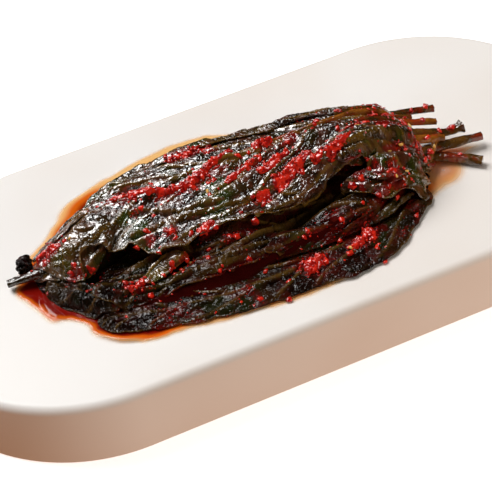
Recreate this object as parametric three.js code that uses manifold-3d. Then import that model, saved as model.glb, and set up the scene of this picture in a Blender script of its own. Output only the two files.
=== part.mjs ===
// A plate of pickled perilla leaves: a thick stadium-ended stoneware slab that carries a gathered bunch of
// leaves in chilli paste. Millimetres, +Z up, origin at the middle of the slab's underside, +X along the slab
// and towards the cut stalks.
import * as THREE from "three";
import { mergeVertices } from "three/addons/utils/BufferGeometryUtils.js";
import Module from "manifold-3d";

const wasm = await Module();
wasm.setup();

// ---- driving dimensions ----
const PLATE = { length: 218, width: 110, height: 22, cornerRadius: 51, topRound: 2.6, footRound: 1.2 };
const TOP = PLATE.height; // the level that everything on the slab stands on
const GAP = 0.3; // clearance between pieces that touch

// The bunch in plan: its front (-Y) and back (+Y) edges, from the leaf tips to the neck where the leaves narrow
// to their stalks.
const TIP_X = -69.5;
const NECK_X = 51;
const FRONT_EDGE = [
  [TIP_X, -4], [-64, -16], [-53, -30], [-30, -38.5], [-4, -41], [18, -39], [36, -33.5], [46, -27], [NECK_X, -19],
];
const BACK_EDGE = [
  [TIP_X, 7], [-62, 13], [-50, 23], [-32, 29], [-10, 29.5], [12, 26], [30, 17.5], [42, 10.5], [NECK_X, 4.5],
];
const STATIONS = 23; // grid steps from the tips to the neck
const LANES = 13; // grid steps from the front edge to the back edge
const RIM_WAVE = 0.034; // how far the leaves' rims wander across the bunch, as a share of its width

// How high the bunch stands along its crown, at even steps from the tips to the neck, and how its cross section
// leans to the back.
const CROWN_HEIGHTS = [5.5, 9, 13, 16.5, 19.4, 20.4, 21, 18, 13];
const CROWN_LEAN = 1.7;
const CROWN_FULLNESS = 0.62;

// The leaf layers from the bottom up. along and across are the grid steps that a layer covers, lengthwise and
// crosswise; level is the share of the full height that its top reaches, rim its thickness at the rim, and
// pleat the height of its lengthwise folds.
const LAYERS = [
  { name: "leaves_lowest", along: [1, 22], across: [0, 13], level: 0.2, rim: 1, pleat: 0.2, pleats: 5 },
  { name: "leaves_lower", along: [0, 23], across: [1, 13], level: 0.46, rim: 1.4, pleat: 0.45, pleats: 4 },
  { name: "leaves_middle", along: [0, 23], across: [2, 12], level: 0.68, rim: 1.4, pleat: 0.6, pleats: 4 },
  { name: "leaves_upper", along: [1, 23], across: [3, 12], level: 0.88, rim: 1.3, pleat: 0.8, pleats: 3 },
  { name: "leaf_top", along: [3, 23], across: [5, 11], level: 1, rim: 1, pleat: 0.7, pleats: 2 },
];

// The rolled end of a lower leaf that stands out at the front beside the neck.
const ROLL = { layer: "leaves_lower", x: 35, y: -26, radius: 9.5, rise: 5.5 };

// Cut stalks, each from the neck outwards as [x, y, height above the slab] points.
const STALKS = [
  { name: "stalk_back", radius: 1.3, way: [[51.8, 2.2, 8.8], [57, 4.4, 8.6], [63.5, 5, 8]] },
  { name: "stalk_top", radius: 1.35, way: [[51.8, -1.8, 11.4], [57, -1.2, 10.8], [62.2, -0.8, 10]] },
  { name: "stalk_split", radius: 1.5, way: [[51.8, -4.8, 8], [60, -4.9, 6.6], [66, -4.6, 5.6], [69.9, -4, 6]] },
  { name: "stalk_long", radius: 1.4, way: [[51.8, -8.4, 9.4], [60, -10, 6.6], [71.7, -10.2, 4]] },
  { name: "stalk_drooped", radius: 1.35, way: [[51.8, -11, 6], [55, -12.4, 4], [60, -14.2, 2.2]] },
  { name: "stalk_low", radius: 1.45, way: [[51.8, -15, 3.4], [60, -17.2, 2.2], [67.5, -18.8, 2]] },
];
// The stub of a stalk and the curled leaf that stick out at the other end.
const TIP_STUB = { name: "tip_stub", radius: 1.4, way: [[-70.2, -1.6, 4.4], [-74, -0.4, 3.8], [-77.2, 1.6, 3]] };
const TIP_CURL = { name: "tip_curl", x: -71.8, y: 7.4, z: 4.1, length: 6, radius: 3.2, turn: -20 };

// Lumps of chilli paste, each an uneven mound: middle in plan, half length, half width, half height and turn.
const PASTE = [
  { name: "paste_streak_tip", x: -33.5, y: 9.5, length: 6.4, width: 2.4, height: 2, turn: -42 },
  { name: "paste_streak_middle", x: -22.5, y: 2.6, length: 6.4, width: 2.6, height: 2.3, turn: -18 },
  { name: "paste_streak_neck", x: -11, y: 2.8, length: 4.2, width: 2.2, height: 1.9, turn: 16 },
  { name: "paste_back", x: 6.5, y: 3.4, length: 4.4, width: 2.8, height: 2.2, turn: 10 },
  { name: "paste_ridge_tip", x: -4.6, y: -3.5, length: 4.8, width: 2, height: 1.8, turn: 10 },
  { name: "paste_ridge", x: 6.5, y: -6.2, length: 5.6, width: 2.2, height: 2, turn: 12 },
  { name: "paste_crown", x: 10.3, y: -13, length: 6.4, width: 3.4, height: 2.7, turn: 28 },
  { name: "paste_neck", x: 25, y: -14.5, length: 4.8, width: 2.7, height: 2.3, turn: 16 },
  { name: "paste_front", x: 3.5, y: -35.6, length: 4.4, width: 3.6, height: 2.4, turn: 0 },
  { name: "paste_front_neck", x: 20, y: -34, length: 5.2, width: 3.6, height: 2.4, turn: 10 },
];
const PASTE_BUMP = 0.1; // how uneven a lump's skin is, as a share of its half sizes
const PASTE_LIFT = 0.8; // how far a lump's middle stands above the leaf under it

// ---- materials ----
const glaze = new THREE.MeshStandardMaterial({ color: 0xf3eee9, roughness: 0.35, metalness: 0 });
const leaf = new THREE.MeshStandardMaterial({ color: 0x2a2a18, roughness: 0.3, metalness: 0 });
const stalk = new THREE.MeshStandardMaterial({ color: 0x5c4a1c, roughness: 0.4, metalness: 0 });
const paste = new THREE.MeshStandardMaterial({ color: 0xb01818, roughness: 0.3, metalness: 0 });

// ---- helpers ----
const { lerp, clamp, degToRad } = THREE.MathUtils;

function geometryOf(positions, index) {
  const made = new THREE.BufferGeometry();
  made.setAttribute("position", new THREE.Float32BufferAttribute(positions, 3));
  made.setIndex(index);
  return made;
}

function solidOf(geometry) {
  const bare = geometry.clone();
  bare.deleteAttribute("normal");
  bare.deleteAttribute("uv");
  const merged = mergeVertices(bare, 1e-4);
  const vertProperties = new Float32Array(merged.attributes.position.array);
  const triVerts = new Uint32Array(merged.index.array);
  return new wasm.Manifold(new wasm.Mesh({ numProp: 3, vertProperties, triVerts }));
}

function geometryOfSolid(solid) {
  const mesh = solid.getMesh();
  const positions = [];
  for (let i = 0; i < mesh.numVert; i++) {
    const at = i * mesh.numProp;
    positions.push(...mesh.vertProperties.subarray(at, at + 3));
  }
  return geometryOf(positions, Array.from(mesh.triVerts));
}

// What is left of a shape above the trimming solid, without loose crumbs.
function trimmed(geometry, trimmer) {
  const pieces = solidOf(geometry).subtract(trimmer).decompose();
  return geometryOfSolid(pieces.reduce((best, one) => (one.volume() > best.volume() ? one : best)));
}

function named(name, geometry, material) {
  geometry.computeVertexNormals();
  const mesh = new THREE.Mesh(geometry, material);
  mesh.name = name;
  return mesh;
}

// A closed skin over rings of equal length, with a fan over the first and the last ring.
function loft(rings) {
  const count = rings[0].length;
  const index = [];
  for (let r = 0; r + 1 < rings.length; r++) {
    for (let i = 0; i < count; i++) {
      const j = (i + 1) % count;
      const [a, b, c, d] = [r * count + i, r * count + j, (r + 1) * count + j, (r + 1) * count + i];
      index.push(a, b, c, a, c, d);
    }
  }
  const last = (rings.length - 1) * count;
  for (let i = 1; i + 1 < count; i++) {
    index.push(0, i + 1, i, last, last + i, last + i + 1);
  }
  return geometryOf(rings.flat(2), index);
}

// ---- the slab ----
function plateRing(inset, z) {
  const { length, width, cornerRadius } = PLATE;
  const [x, y] = [length / 2 - cornerRadius, width / 2 - cornerRadius];
  const corners = [[x, y], [-x, y], [-x, -y], [x, -y]];
  const steps = 10;
  const ring = [];
  corners.forEach(([cx, cy], quarter) => {
    for (let i = 0; i <= steps; i++) {
      const angle = (quarter + i / steps) * (Math.PI / 2);
      const reach = cornerRadius - inset;
      ring.push([cx + reach * Math.cos(angle), cy + reach * Math.sin(angle), z]);
    }
  });
  return ring;
}

function buildPlate() {
  const { height, topRound, footRound } = PLATE;
  const steps = 4;
  const foot = [];
  const rim = [];
  for (let i = 0; i <= steps; i++) {
    const [sine, cosine] = [Math.sin((i / steps) * (Math.PI / 2)), Math.cos((i / steps) * (Math.PI / 2))];
    foot.push(plateRing(footRound * (1 - sine), footRound * (1 - cosine)));
    rim.push(plateRing(topRound * (1 - cosine), height - topRound * (1 - sine)));
  }
  return named("plate", loft([...foot, ...rim]), glaze);
}

// ---- the bunch of leaves ----
const curveThrough = (points) => new THREE.SplineCurve(points.map(([x, y]) => new THREE.Vector2(x, y)));
const frontCurve = curveThrough(FRONT_EDGE);
const backCurve = curveThrough(BACK_EDGE);
const crownCurve = curveThrough(CROWN_HEIGHTS.map((height, i) => [i, height]));

// A grid point in plan: station 0 is at the tips, lane 0 on the front edge. The inner lanes wander, so that the
// rims of the leaves that end on them do too.
function planPoint(station, lane) {
  const [along, across] = [station / STATIONS, lane / LANES];
  const inner = Math.sin(Math.PI * across) * Math.sin(Math.PI * along);
  const wave = Math.sin(13 * along + 4.1 * across) + 0.7 * Math.sin(29 * along - 7 * across);
  const share = across + RIM_WAVE * inner * wave;
  const front = frontCurve.getPoint(along);
  const back = backCurve.getPoint(along);
  return new THREE.Vector2(lerp(front.x, back.x, share), lerp(front.y, back.y, share));
}

// How high the whole bunch stands over the slab at a grid point.
function bunchHeight(station, lane) {
  const lean = Math.sin(Math.PI * (lane / LANES) ** CROWN_LEAN);
  return crownCurve.getPoint(station / STATIONS).y * clamp(lean, 0, 1) ** CROWN_FULLNESS;
}

// 0 on a rim, 1 in the middle, and rising steeply in between.
const swell = (share) => Math.sqrt(clamp(1 - (2 * share - 1) ** 2, 0, 1));

function rollRise(layer, station, lane) {
  if (layer.name !== ROLL.layer) return 0;
  const away = planPoint(station, lane).distanceTo(new THREE.Vector2(ROLL.x, ROLL.y)) / ROLL.radius;
  return ROLL.rise * Math.exp(-2 * away * away);
}

// How thick a layer is over the ground that it lies on.
function layerThickness(layer, station, lane, ground) {
  const { along, across, level, rim, pleat, pleats } = layer;
  const lengthwise = (station - along[0]) / (along[1] - along[0]);
  const crosswise = (lane - across[0]) / (across[1] - across[0]);
  const body = swell(crosswise) * swell(Math.min(lengthwise * 1.6, 0.5));
  const folds = pleat * Math.cos(2 * Math.PI * pleats * crosswise) * body;
  const wanted = level * bunchHeight(station, lane) - (ground - TOP);
  return rim + Math.max(wanted - rim, 0) * body + folds + rollRise(layer, station, lane);
}

// The skin of a grid patch between two height fields, each a function of station and lane.
function patchBetween(along, across, lowAt, highAt) {
  const [rows, columns] = [along[1] - along[0], across[1] - across[0] + 1];
  const low = [];
  const high = [];
  for (let station = along[0]; station <= along[1]; station++) {
    for (let lane = across[0]; lane <= across[1]; lane++) {
      const p = planPoint(station, lane);
      low.push(p.x, p.y, lowAt(station, lane));
      high.push(p.x, p.y, highAt(station, lane));
    }
  }
  const above = low.length / 3;
  const index = [];
  const wall = (i, j) => index.push(i, j, j + above, i, j + above, i + above);
  for (let r = 0; r < rows; r++) {
    for (let c = 0; c + 1 < columns; c++) {
      const [a, b] = [r * columns + c, (r + 1) * columns + c];
      index.push(a, a + 1, b + 1, a, b + 1, b);
      index.push(a + above, b + 1 + above, a + 1 + above, a + above, b + above, b + 1 + above);
    }
    wall(r * columns, (r + 1) * columns);
    wall((r + 2) * columns - 1, (r + 1) * columns - 1);
  }
  for (let c = 0; c + 1 < columns; c++) {
    wall(c + 1, c);
    wall(rows * columns + c, rows * columns + c + 1);
  }
  return geometryOf([...low, ...high], index);
}

// The highest surface at each grid point, which each layer raises as it is laid.
const surface = Array.from({ length: STATIONS + 1 }, () => new Array(LANES + 1).fill(TOP));

function buildLayer(layer) {
  const footAt = (station, lane) => surface[station][lane] + GAP;
  const crestAt = (station, lane) =>
    footAt(station, lane) + layerThickness(layer, station, lane, surface[station][lane]);
  const patch = patchBetween(layer.along, layer.across, footAt, crestAt);
  for (let station = layer.along[0]; station <= layer.along[1]; station++) {
    for (let lane = layer.across[0]; lane <= layer.across[1]; lane++) {
      surface[station][lane] = crestAt(station, lane);
    }
  }
  return named(layer.name, patch, leaf);
}

// Everything up to just above the leaves, which trims what lies on them.
function buildTrimmer() {
  const depth = 5;
  const skin = patchBetween(
    [0, STATIONS],
    [0, LANES],
    () => TOP - depth,
    (station, lane) => surface[station][lane] + GAP,
  );
  return solidOf(skin);
}

// The leaves' height at the grid point nearest a place in plan.
function surfaceNear(x, y) {
  const place = new THREE.Vector2(x, y);
  let [nearest, height] = [Infinity, TOP];
  surface.forEach((lanes, station) => {
    lanes.forEach((z, lane) => {
      const away = planPoint(station, lane).distanceTo(place);
      if (away < nearest) [nearest, height] = [away, z];
    });
  });
  return height;
}

// ---- stalks and tips ----
function buildStalk({ name, radius, way }) {
  const path = new THREE.CatmullRomCurve3(way.map(([x, y, z]) => new THREE.Vector3(x, y, TOP + z)));
  const section = new THREE.Shape();
  section.absarc(0, 0, radius, 0, 2 * Math.PI);
  const options = { steps: 6, extrudePath: path, curveSegments: 5, bevelEnabled: false };
  return named(name, geometryOfSolid(solidOf(new THREE.ExtrudeGeometry(section, options))), stalk);
}

function buildTipCurl(trimmer) {
  const { name, x, y, z, length, radius, turn } = TIP_CURL;
  const curl = new THREE.CapsuleGeometry(radius, length - radius, 4, 10);
  curl.rotateZ(degToRad(turn));
  curl.translate(x, y, TOP + z);
  return named(name, trimmed(curl, trimmer), leaf);
}

// ---- paste ----
// An uneven mound: a ball stretched to its half sizes, whose skin rises and falls in smooth bumps.
function buildPaste({ name, x, y, length, width, height, turn }, trimmer) {
  const mound = new THREE.IcosahedronGeometry(1, 3);
  const at = mound.attributes.position;
  const v = new THREE.Vector3();
  for (let i = 0; i < at.count; i++) {
    v.fromBufferAttribute(at, i);
    const bumps = Math.sin(5.1 * v.x + x) * Math.cos(4.3 * v.y + y) + 0.6 * Math.sin(7.7 * v.z + 3 * v.x);
    v.multiplyScalar(1 + PASTE_BUMP * bumps);
    at.setXYZ(i, v.x * length, v.y * width, v.z * height);
  }
  mound.rotateZ(degToRad(turn));
  mound.translate(x, y, surfaceNear(x, y) + PASTE_LIFT);
  return named(name, trimmed(mound, trimmer), paste);
}

// ---- assembly ----
const group = new THREE.Group();
group.add(buildPlate());
for (const layer of LAYERS) group.add(buildLayer(layer));
const trimmer = buildTrimmer();
for (const lump of PASTE) group.add(buildPaste(lump, trimmer));
for (const one of [...STALKS, TIP_STUB]) group.add(buildStalk(one));
group.add(buildTipCurl(trimmer));

export default group;
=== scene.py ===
"""A plate of pickled perilla leaves: a thick white slab with a gathered bunch of leaves in chilli paste.

Lengths in this file are in millimetres unless a name says otherwise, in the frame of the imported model: +Z up,
+X along the slab towards the cut stalks, -Y towards the front. Meshes are written in metres.
"""

import logging
import math
from collections.abc import Callable, Iterator, Sequence
from contextlib import contextmanager
from dataclasses import dataclass, field
from enum import Enum
from functools import cached_property

import bpy
import numpy as np
from mathutils import Matrix, Vector
from mathutils.bvhtree import BVHTree


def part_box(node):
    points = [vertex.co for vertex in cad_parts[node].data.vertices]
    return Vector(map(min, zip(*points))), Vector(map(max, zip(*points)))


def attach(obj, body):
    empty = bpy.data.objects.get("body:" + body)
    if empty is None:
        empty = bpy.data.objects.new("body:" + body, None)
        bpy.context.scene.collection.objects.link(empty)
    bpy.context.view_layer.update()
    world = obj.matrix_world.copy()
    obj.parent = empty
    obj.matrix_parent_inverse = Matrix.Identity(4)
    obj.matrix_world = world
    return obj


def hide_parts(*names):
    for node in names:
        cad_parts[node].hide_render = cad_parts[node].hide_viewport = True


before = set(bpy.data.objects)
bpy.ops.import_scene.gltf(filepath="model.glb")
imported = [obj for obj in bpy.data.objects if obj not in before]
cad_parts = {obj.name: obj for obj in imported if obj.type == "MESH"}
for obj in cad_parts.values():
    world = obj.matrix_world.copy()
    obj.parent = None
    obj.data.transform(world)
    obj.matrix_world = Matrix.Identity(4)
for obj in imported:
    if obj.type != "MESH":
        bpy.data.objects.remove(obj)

logging.basicConfig(level=logging.INFO, format="%(message)s")
LOG = logging.getLogger("perilla_plate")

MM = 0.001
FAR = 1e9
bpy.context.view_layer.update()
SLAB_LOW, SLAB_HIGH = (np.array(corner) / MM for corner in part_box("plate"))
TOP = float(SLAB_HIGH[2])
LEAF_NODES = ("leaves_lower", "leaves_middle", "leaves_upper", "leaf_top")

Array = np.ndarray
Point = tuple[float, ...]


# ---------------------------------------------------------------- numbers and noise


def hashed(ix: Array, iy: Array, seed: int) -> Array:
    """A repeatable random number from 0 to 1 for each lattice point.

    Args:
        ix: Lattice columns.
        iy: Lattice rows.
        seed: Picks the pattern.

    Returns:
        One number for each point.
    """
    mask = 0xFFFFFFFF
    n = (ix.astype(np.int64) * 374761393 + iy.astype(np.int64) * 668265263 + seed * 362437) & mask
    n = ((n ^ (n >> 13)) * 1274126177) & mask
    return ((n ^ (n >> 16)) & 0xFFFF) / 65535.0


def noise(x: Array, y: Array, seed: int) -> Array:
    """Smooth noise from -1 to 1, one swing over each unit of length."""
    ix, iy = np.floor(x), np.floor(y)
    fx, fy = x - ix, y - iy
    fx, fy = fx * fx * (3 - 2 * fx), fy * fy * (3 - 2 * fy)
    low = hashed(ix, iy, seed) * (1 - fx) + hashed(ix + 1, iy, seed) * fx
    high = hashed(ix, iy + 1, seed) * (1 - fx) + hashed(ix + 1, iy + 1, seed) * fx
    return 2 * (low * (1 - fy) + high * fy) - 1


def layered_noise(x: Array, y: Array, seed: int, octaves: int = 3) -> Array:
    """Several sizes of smooth noise on each other, from about -1 to 1."""
    total, share = np.zeros_like(x), 1.0
    for octave in range(octaves):
        total += share * noise(x * 2**octave, y * 2**octave, seed + 17 * octave)
        share *= 0.5
    return total


def creases(x: Array, y: Array, seed: int) -> Array:
    """Noise with sharp ridges: 1 on a crease and 0 far from one."""
    return 1 - np.abs(noise(x, y, seed))


def puffs(x: Array, y: Array, seed: int) -> Array:
    """Cells like the puffed skin between small veins: 0 on their borders, towards 1 inside.

    Args:
        x: Places in cell widths.
        y: Places in cell widths.
        seed: Picks the pattern.

    Returns:
        How far inside its cell each place is.
    """
    ix, iy = np.floor(x), np.floor(y)
    nearest = np.full(x.shape, 9.0)
    second = np.full(x.shape, 9.0)
    for dx in (-1, 0, 1):
        for dy in (-1, 0, 1):
            cx, cy = ix + dx, iy + dy
            away = np.hypot(cx + hashed(cx, cy, seed) - x, cy + hashed(cx, cy, seed + 5) - y)
            second = np.minimum(second, np.maximum(nearest, away))
            nearest = np.minimum(nearest, away)
    return np.clip((second - nearest) * 2.6, 0, 1)


def eased(edge0: float, edge1: float, x: Array) -> Array:
    """0 below edge0, 1 above edge1 and smooth between them."""
    t = np.clip((x - edge0) / (edge1 - edge0), 0, 1)
    return t * t * (3 - 2 * t)


def spline(points: Sequence[Point], at: Array) -> Array:
    """A smooth curve through points.

    Args:
        points: The points, each with any number of coordinates.
        at: Places along the curve from 0 to 1.

    Returns:
        One row of coordinates for each place.
    """
    p = np.array(points, float)
    p = np.vstack([2 * p[0] - p[1], p, 2 * p[-1] - p[-2]])
    spans = len(points) - 1
    t = np.clip(at, 0, 1) * spans
    i = np.minimum(t.astype(int), spans - 1)
    t = (t - i)[:, None]
    a, b, c, d = p[i], p[i + 1], p[i + 2], p[i + 3]
    return 0.5 * (2 * b + (c - a) * t + (2 * a - 5 * b + 4 * c - d) * t**2 + (3 * b - a - 3 * c + d) * t**3)


def unit(vectors: Array) -> Array:
    """Rows of a length of 1 that point the same way."""
    return vectors / np.linalg.norm(vectors, axis=1, keepdims=True)


def length_of(points: Sequence[Point]) -> float:
    """The length of the straight steps from point to point."""
    return float(np.linalg.norm(np.diff(np.array(points), axis=0), axis=1).sum())


def distance(x: Array, y: Array, line: Array) -> Array:
    """How far each place in plan is from the closest point of a line."""
    away = np.full(x.shape, FAR)
    for px, py in line:
        away = np.minimum(away, np.hypot(x - px, y - py))
    return away


# ---------------------------------------------------------------- meshes


def deselect() -> None:
    """Leaves object mode with nothing selected."""
    if bpy.context.object and bpy.context.object.mode != "OBJECT":
        bpy.ops.object.mode_set(mode="OBJECT")
    bpy.ops.object.select_all(action="DESELECT")


def pick(piece: bpy.types.Object) -> None:
    """Makes a piece the only selected and the active one."""
    deselect()
    piece.select_set(True)
    bpy.context.view_layer.objects.active = piece


@contextmanager
def edit_mode(piece: bpy.types.Object) -> Iterator[None]:
    """Opens the mesh of a piece for editing and closes it again."""
    pick(piece)
    bpy.ops.object.mode_set(mode="EDIT")
    yield
    bpy.ops.object.mode_set(mode="OBJECT")


def vertices_of(piece: bpy.types.Object) -> Array:
    """The vertices of a piece in its own units, one row each."""
    flat = np.empty(3 * len(piece.data.vertices))
    piece.data.vertices.foreach_get("co", flat)
    return flat.reshape(-1, 3)


def set_vertices(piece: bpy.types.Object, places: Array) -> None:
    """Moves the vertices of a piece.

    Args:
        piece: The piece.
        places: One row for each vertex, in the mesh's own units.
    """
    piece.data.vertices.foreach_set("co", places.astype(np.float32).ravel())
    piece.data.update()


def set_attribute(piece: bpy.types.Object, name: str, values: Array) -> None:
    """Stores one number or one triple for each vertex, for a material to read."""
    kind = "FLOAT" if values.ndim == 1 else "FLOAT_VECTOR"
    made = piece.data.attributes.new(name, kind, "POINT")
    made.data.foreach_set("value" if values.ndim == 1 else "vector", values.astype(np.float32).ravel())


def mark_skin(piece: bpy.types.Object, on_leaf: Array, vein: Array | float, sauce: Array | float) -> None:
    """Stores what a leaf skin reads.

    Args:
        piece: The piece.
        on_leaf: The place of each vertex on the leaf.
        vein: How far the vein shows, at each vertex or all over.
        sauce: How much sauce clings, at each vertex or all over.
    """
    set_attribute(piece, "leaf_mm", on_leaf)
    set_attribute(piece, "vein", np.broadcast_to(vein, len(on_leaf)))
    set_attribute(piece, "sauce", np.broadcast_to(sauce, len(on_leaf)))


def apply_modifier(piece: bpy.types.Object, kind: str, **settings: object) -> None:
    """Adds a modifier with its settings and applies it."""
    pick(piece)
    made = piece.modifiers.new(kind.title(), kind)
    for name, value in settings.items():
        setattr(made, name, value)
    bpy.ops.object.modifier_apply(modifier=made.name)


def sheet_grid(name: str, rows: int, columns: int) -> tuple[bpy.types.Object, Array, Array]:
    """A flat grid to be shaped.

    Args:
        name: The piece's name.
        rows: Faces along the piece.
        columns: Faces across it.

    Returns:
        The piece, and each vertex's place along it from 0 to 1 and across it from -1 to 1.
    """
    deselect()
    bpy.ops.mesh.primitive_grid_add(x_subdivisions=rows, y_subdivisions=columns, size=2)
    piece = bpy.context.object
    piece.name = piece.data.name = name
    flat = vertices_of(piece)
    return piece, (flat[:, 0] + 1) / 2, flat[:, 1]


def plan_grid(name: str, low: Point, high: Point, pitch: float) -> tuple[bpy.types.Object, Array, Array]:
    """A flat grid over a stretch of the slab.

    Args:
        name: The piece's name.
        low: The stretch's lowest corner in plan.
        high: Its highest corner.
        pitch: About how wide a face is.

    Returns:
        The piece, and the x and y of each vertex.
    """
    rows, columns = (round((h - l) / pitch) for l, h in zip(low, high))
    piece, along, across = sheet_grid(name, rows, columns)
    return piece, low[0] + along * (high[0] - low[0]), low[1] + (across + 1) / 2 * (high[1] - low[1])


def close_tube(piece: bpy.types.Object) -> None:
    """Joins the long edges of a rolled grid, caps its ends and turns its faces outwards."""
    with edit_mode(piece):
        bpy.ops.mesh.select_all(action="SELECT")
        bpy.ops.mesh.remove_doubles(threshold=1e-6)
        bpy.ops.mesh.fill_holes(sides=0)
        bpy.ops.mesh.select_all(action="SELECT")
        bpy.ops.mesh.normals_make_consistent(inside=False)


def joined(pieces: list[bpy.types.Object], name: str) -> bpy.types.Object:
    """Joins pieces into one with a name."""
    deselect()
    for one in pieces:
        one.select_set(True)
    bpy.context.view_layer.objects.active = pieces[0]
    bpy.ops.object.join()
    pieces[0].name = pieces[0].data.name = name
    return pieces[0]


def keep_only(piece: bpy.types.Object, kept: Array) -> None:
    """Deletes the vertices of a piece that aren't kept."""
    with edit_mode(piece):
        bpy.ops.mesh.select_mode(type="VERT")
        bpy.ops.mesh.select_all(action="DESELECT")
    piece.data.vertices.foreach_set("select", ~kept)
    with edit_mode(piece):
        bpy.ops.mesh.delete(type="VERT")


def finish_piece(
    piece: bpy.types.Object, material: bpy.types.Material, slot: str, *nodes: str | None
) -> None:
    """Dresses a piece, lets it ride on the body and says what it stands for.

    Args:
        piece: The piece, in place.
        material: Its finish.
        slot: The material slot that the finish belongs to; not used.
        *nodes: The solid nodes that the piece replaces, or None for no node.
    """
    pick(piece)
    bpy.ops.object.shade_smooth()
    piece.data.materials.clear()
    piece.data.materials.append(material)
    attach(piece, "root")
    nodes = tuple(node for node in nodes if node)
    if nodes:
        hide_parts(*nodes)
    stood_for = ", ".join(nodes) or "nothing"
    LOG.info("%s: %d faces, stands for %s", piece.name, len(piece.data.polygons), stood_for)


# ---------------------------------------------------------------- the ground that pieces lie on


@dataclass
class Ground:
    """The highest surface over the slab so far, as a grid of heights.

    Attributes:
        low: The grid's lowest corner in plan.
        high: The grid's highest corner in plan.
        pitch: The grid's spacing.
        heights: The height at each grid point, rows along Y.
        finished: The heights of the finished bunch, which taut leaves keep to over hollows.
    """

    low: Point = (-90.0, -52.0)
    high: Point = (84.0, 48.0)
    pitch: float = 0.4
    heights: Array | None = None
    finished: Array | None = None

    def __post_init__(self) -> None:
        """Starts with the bare slab if no heights are given."""
        shape = [round((h - l) / self.pitch) + 1 for l, h in zip(self.low, self.high)]
        if self.heights is None:
            self.heights = np.full((shape[1], shape[0]), TOP)

    def places(self) -> tuple[Array, Array]:
        """The plan places of the grid points."""
        rows, columns = np.indices(self.heights.shape)
        return self.low[0] + columns * self.pitch, self.low[1] + rows * self.pitch

    def at(self, x: Array, y: Array, heights: Array | None = None) -> Array:
        """Reads heights between the grid points.

        Args:
            x: Places along the slab.
            y: Places across it.
            heights: Another grid to read instead of this ground's own.

        Returns:
            The height at each place.
        """
        grid = self.heights if heights is None else heights
        column = np.clip((x - self.low[0]) / self.pitch, 0, grid.shape[1] - 1.001)
        row = np.clip((y - self.low[1]) / self.pitch, 0, grid.shape[0] - 1.001)
        i, j = row.astype(int), column.astype(int)
        fy, fx = row - i, column - j
        near = grid[i, j] * (1 - fx) + grid[i, j + 1] * fx
        far = grid[i + 1, j] * (1 - fx) + grid[i + 1, j + 1] * fx
        return near * (1 - fy) + far * fy

    def raise_to(self, x: Array, y: Array, z: Array) -> None:
        """Raises the ground to a surface given by close points."""
        row = np.round((y - self.low[1]) / self.pitch).astype(int)
        column = np.round((x - self.low[0]) / self.pitch).astype(int)
        for di in (-1, 0, 1):
            for dj in (-1, 0, 1):
                i = np.clip(row + di, 0, self.heights.shape[0] - 1)
                j = np.clip(column + dj, 0, self.heights.shape[1] - 1)
                np.maximum.at(self.heights, (i, j), z)

    def widened(self, reach: float) -> Array:
        """The heights with every high place spread sideways.

        Args:
            reach: How far it spreads.

        Returns:
            A grid of heights.
        """
        grid = self.heights.copy()
        for _ in range(max(1, round(reach / self.pitch))):
            wide = grid.copy()
            for axis in (0, 1):
                for step in (-1, 1):
                    wide = np.maximum(wide, np.roll(grid, step, axis))
            grid = wide
        return grid

    def blurred(self, grid: Array, reach: float) -> Array:
        """A grid of heights averaged over a reach, three times over, as soft as a bell curve."""
        half = max(1, round(reach / self.pitch))
        for _ in range(3):
            for axis in (0, 1):
                margins = [(half + 1, half) if side == axis else (0, 0) for side in (0, 1)]
                padded = np.pad(grid, margins, mode="edge")
                total = np.cumsum(padded, axis)
                upper = np.take(total, range(2 * half + 1, total.shape[axis]), axis)
                lower = np.take(total, range(0, total.shape[axis] - 2 * half - 1), axis)
                grid = (upper - lower) / (2 * half + 1)
        return grid

    def normals(self, x: Array, y: Array, reach: float = 0.6) -> Array:
        """Which way the ground faces at places in plan."""
        soft = self.blurred(self.heights, reach)
        dy, dx = np.gradient(soft, self.pitch)
        return unit(np.stack([-self.at(x, y, dx), -self.at(x, y, dy), np.ones_like(x)], 1))


# ---------------------------------------------------------------- finishes


def linear(code: str) -> tuple[float, float, float, float]:
    """Turns an sRGB hex colour, such as #f4f0ec, into linear red, green, blue and 1."""
    parts = [int(code[i : i + 2], 16) / 255 for i in (1, 3, 5)]
    return (*(p / 12.92 if p <= 0.04045 else ((p + 0.055) / 1.055) ** 2.4 for p in parts), 1.0)


Link = bpy.types.NodeSocket
Inputs = dict[str | int, object]


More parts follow.
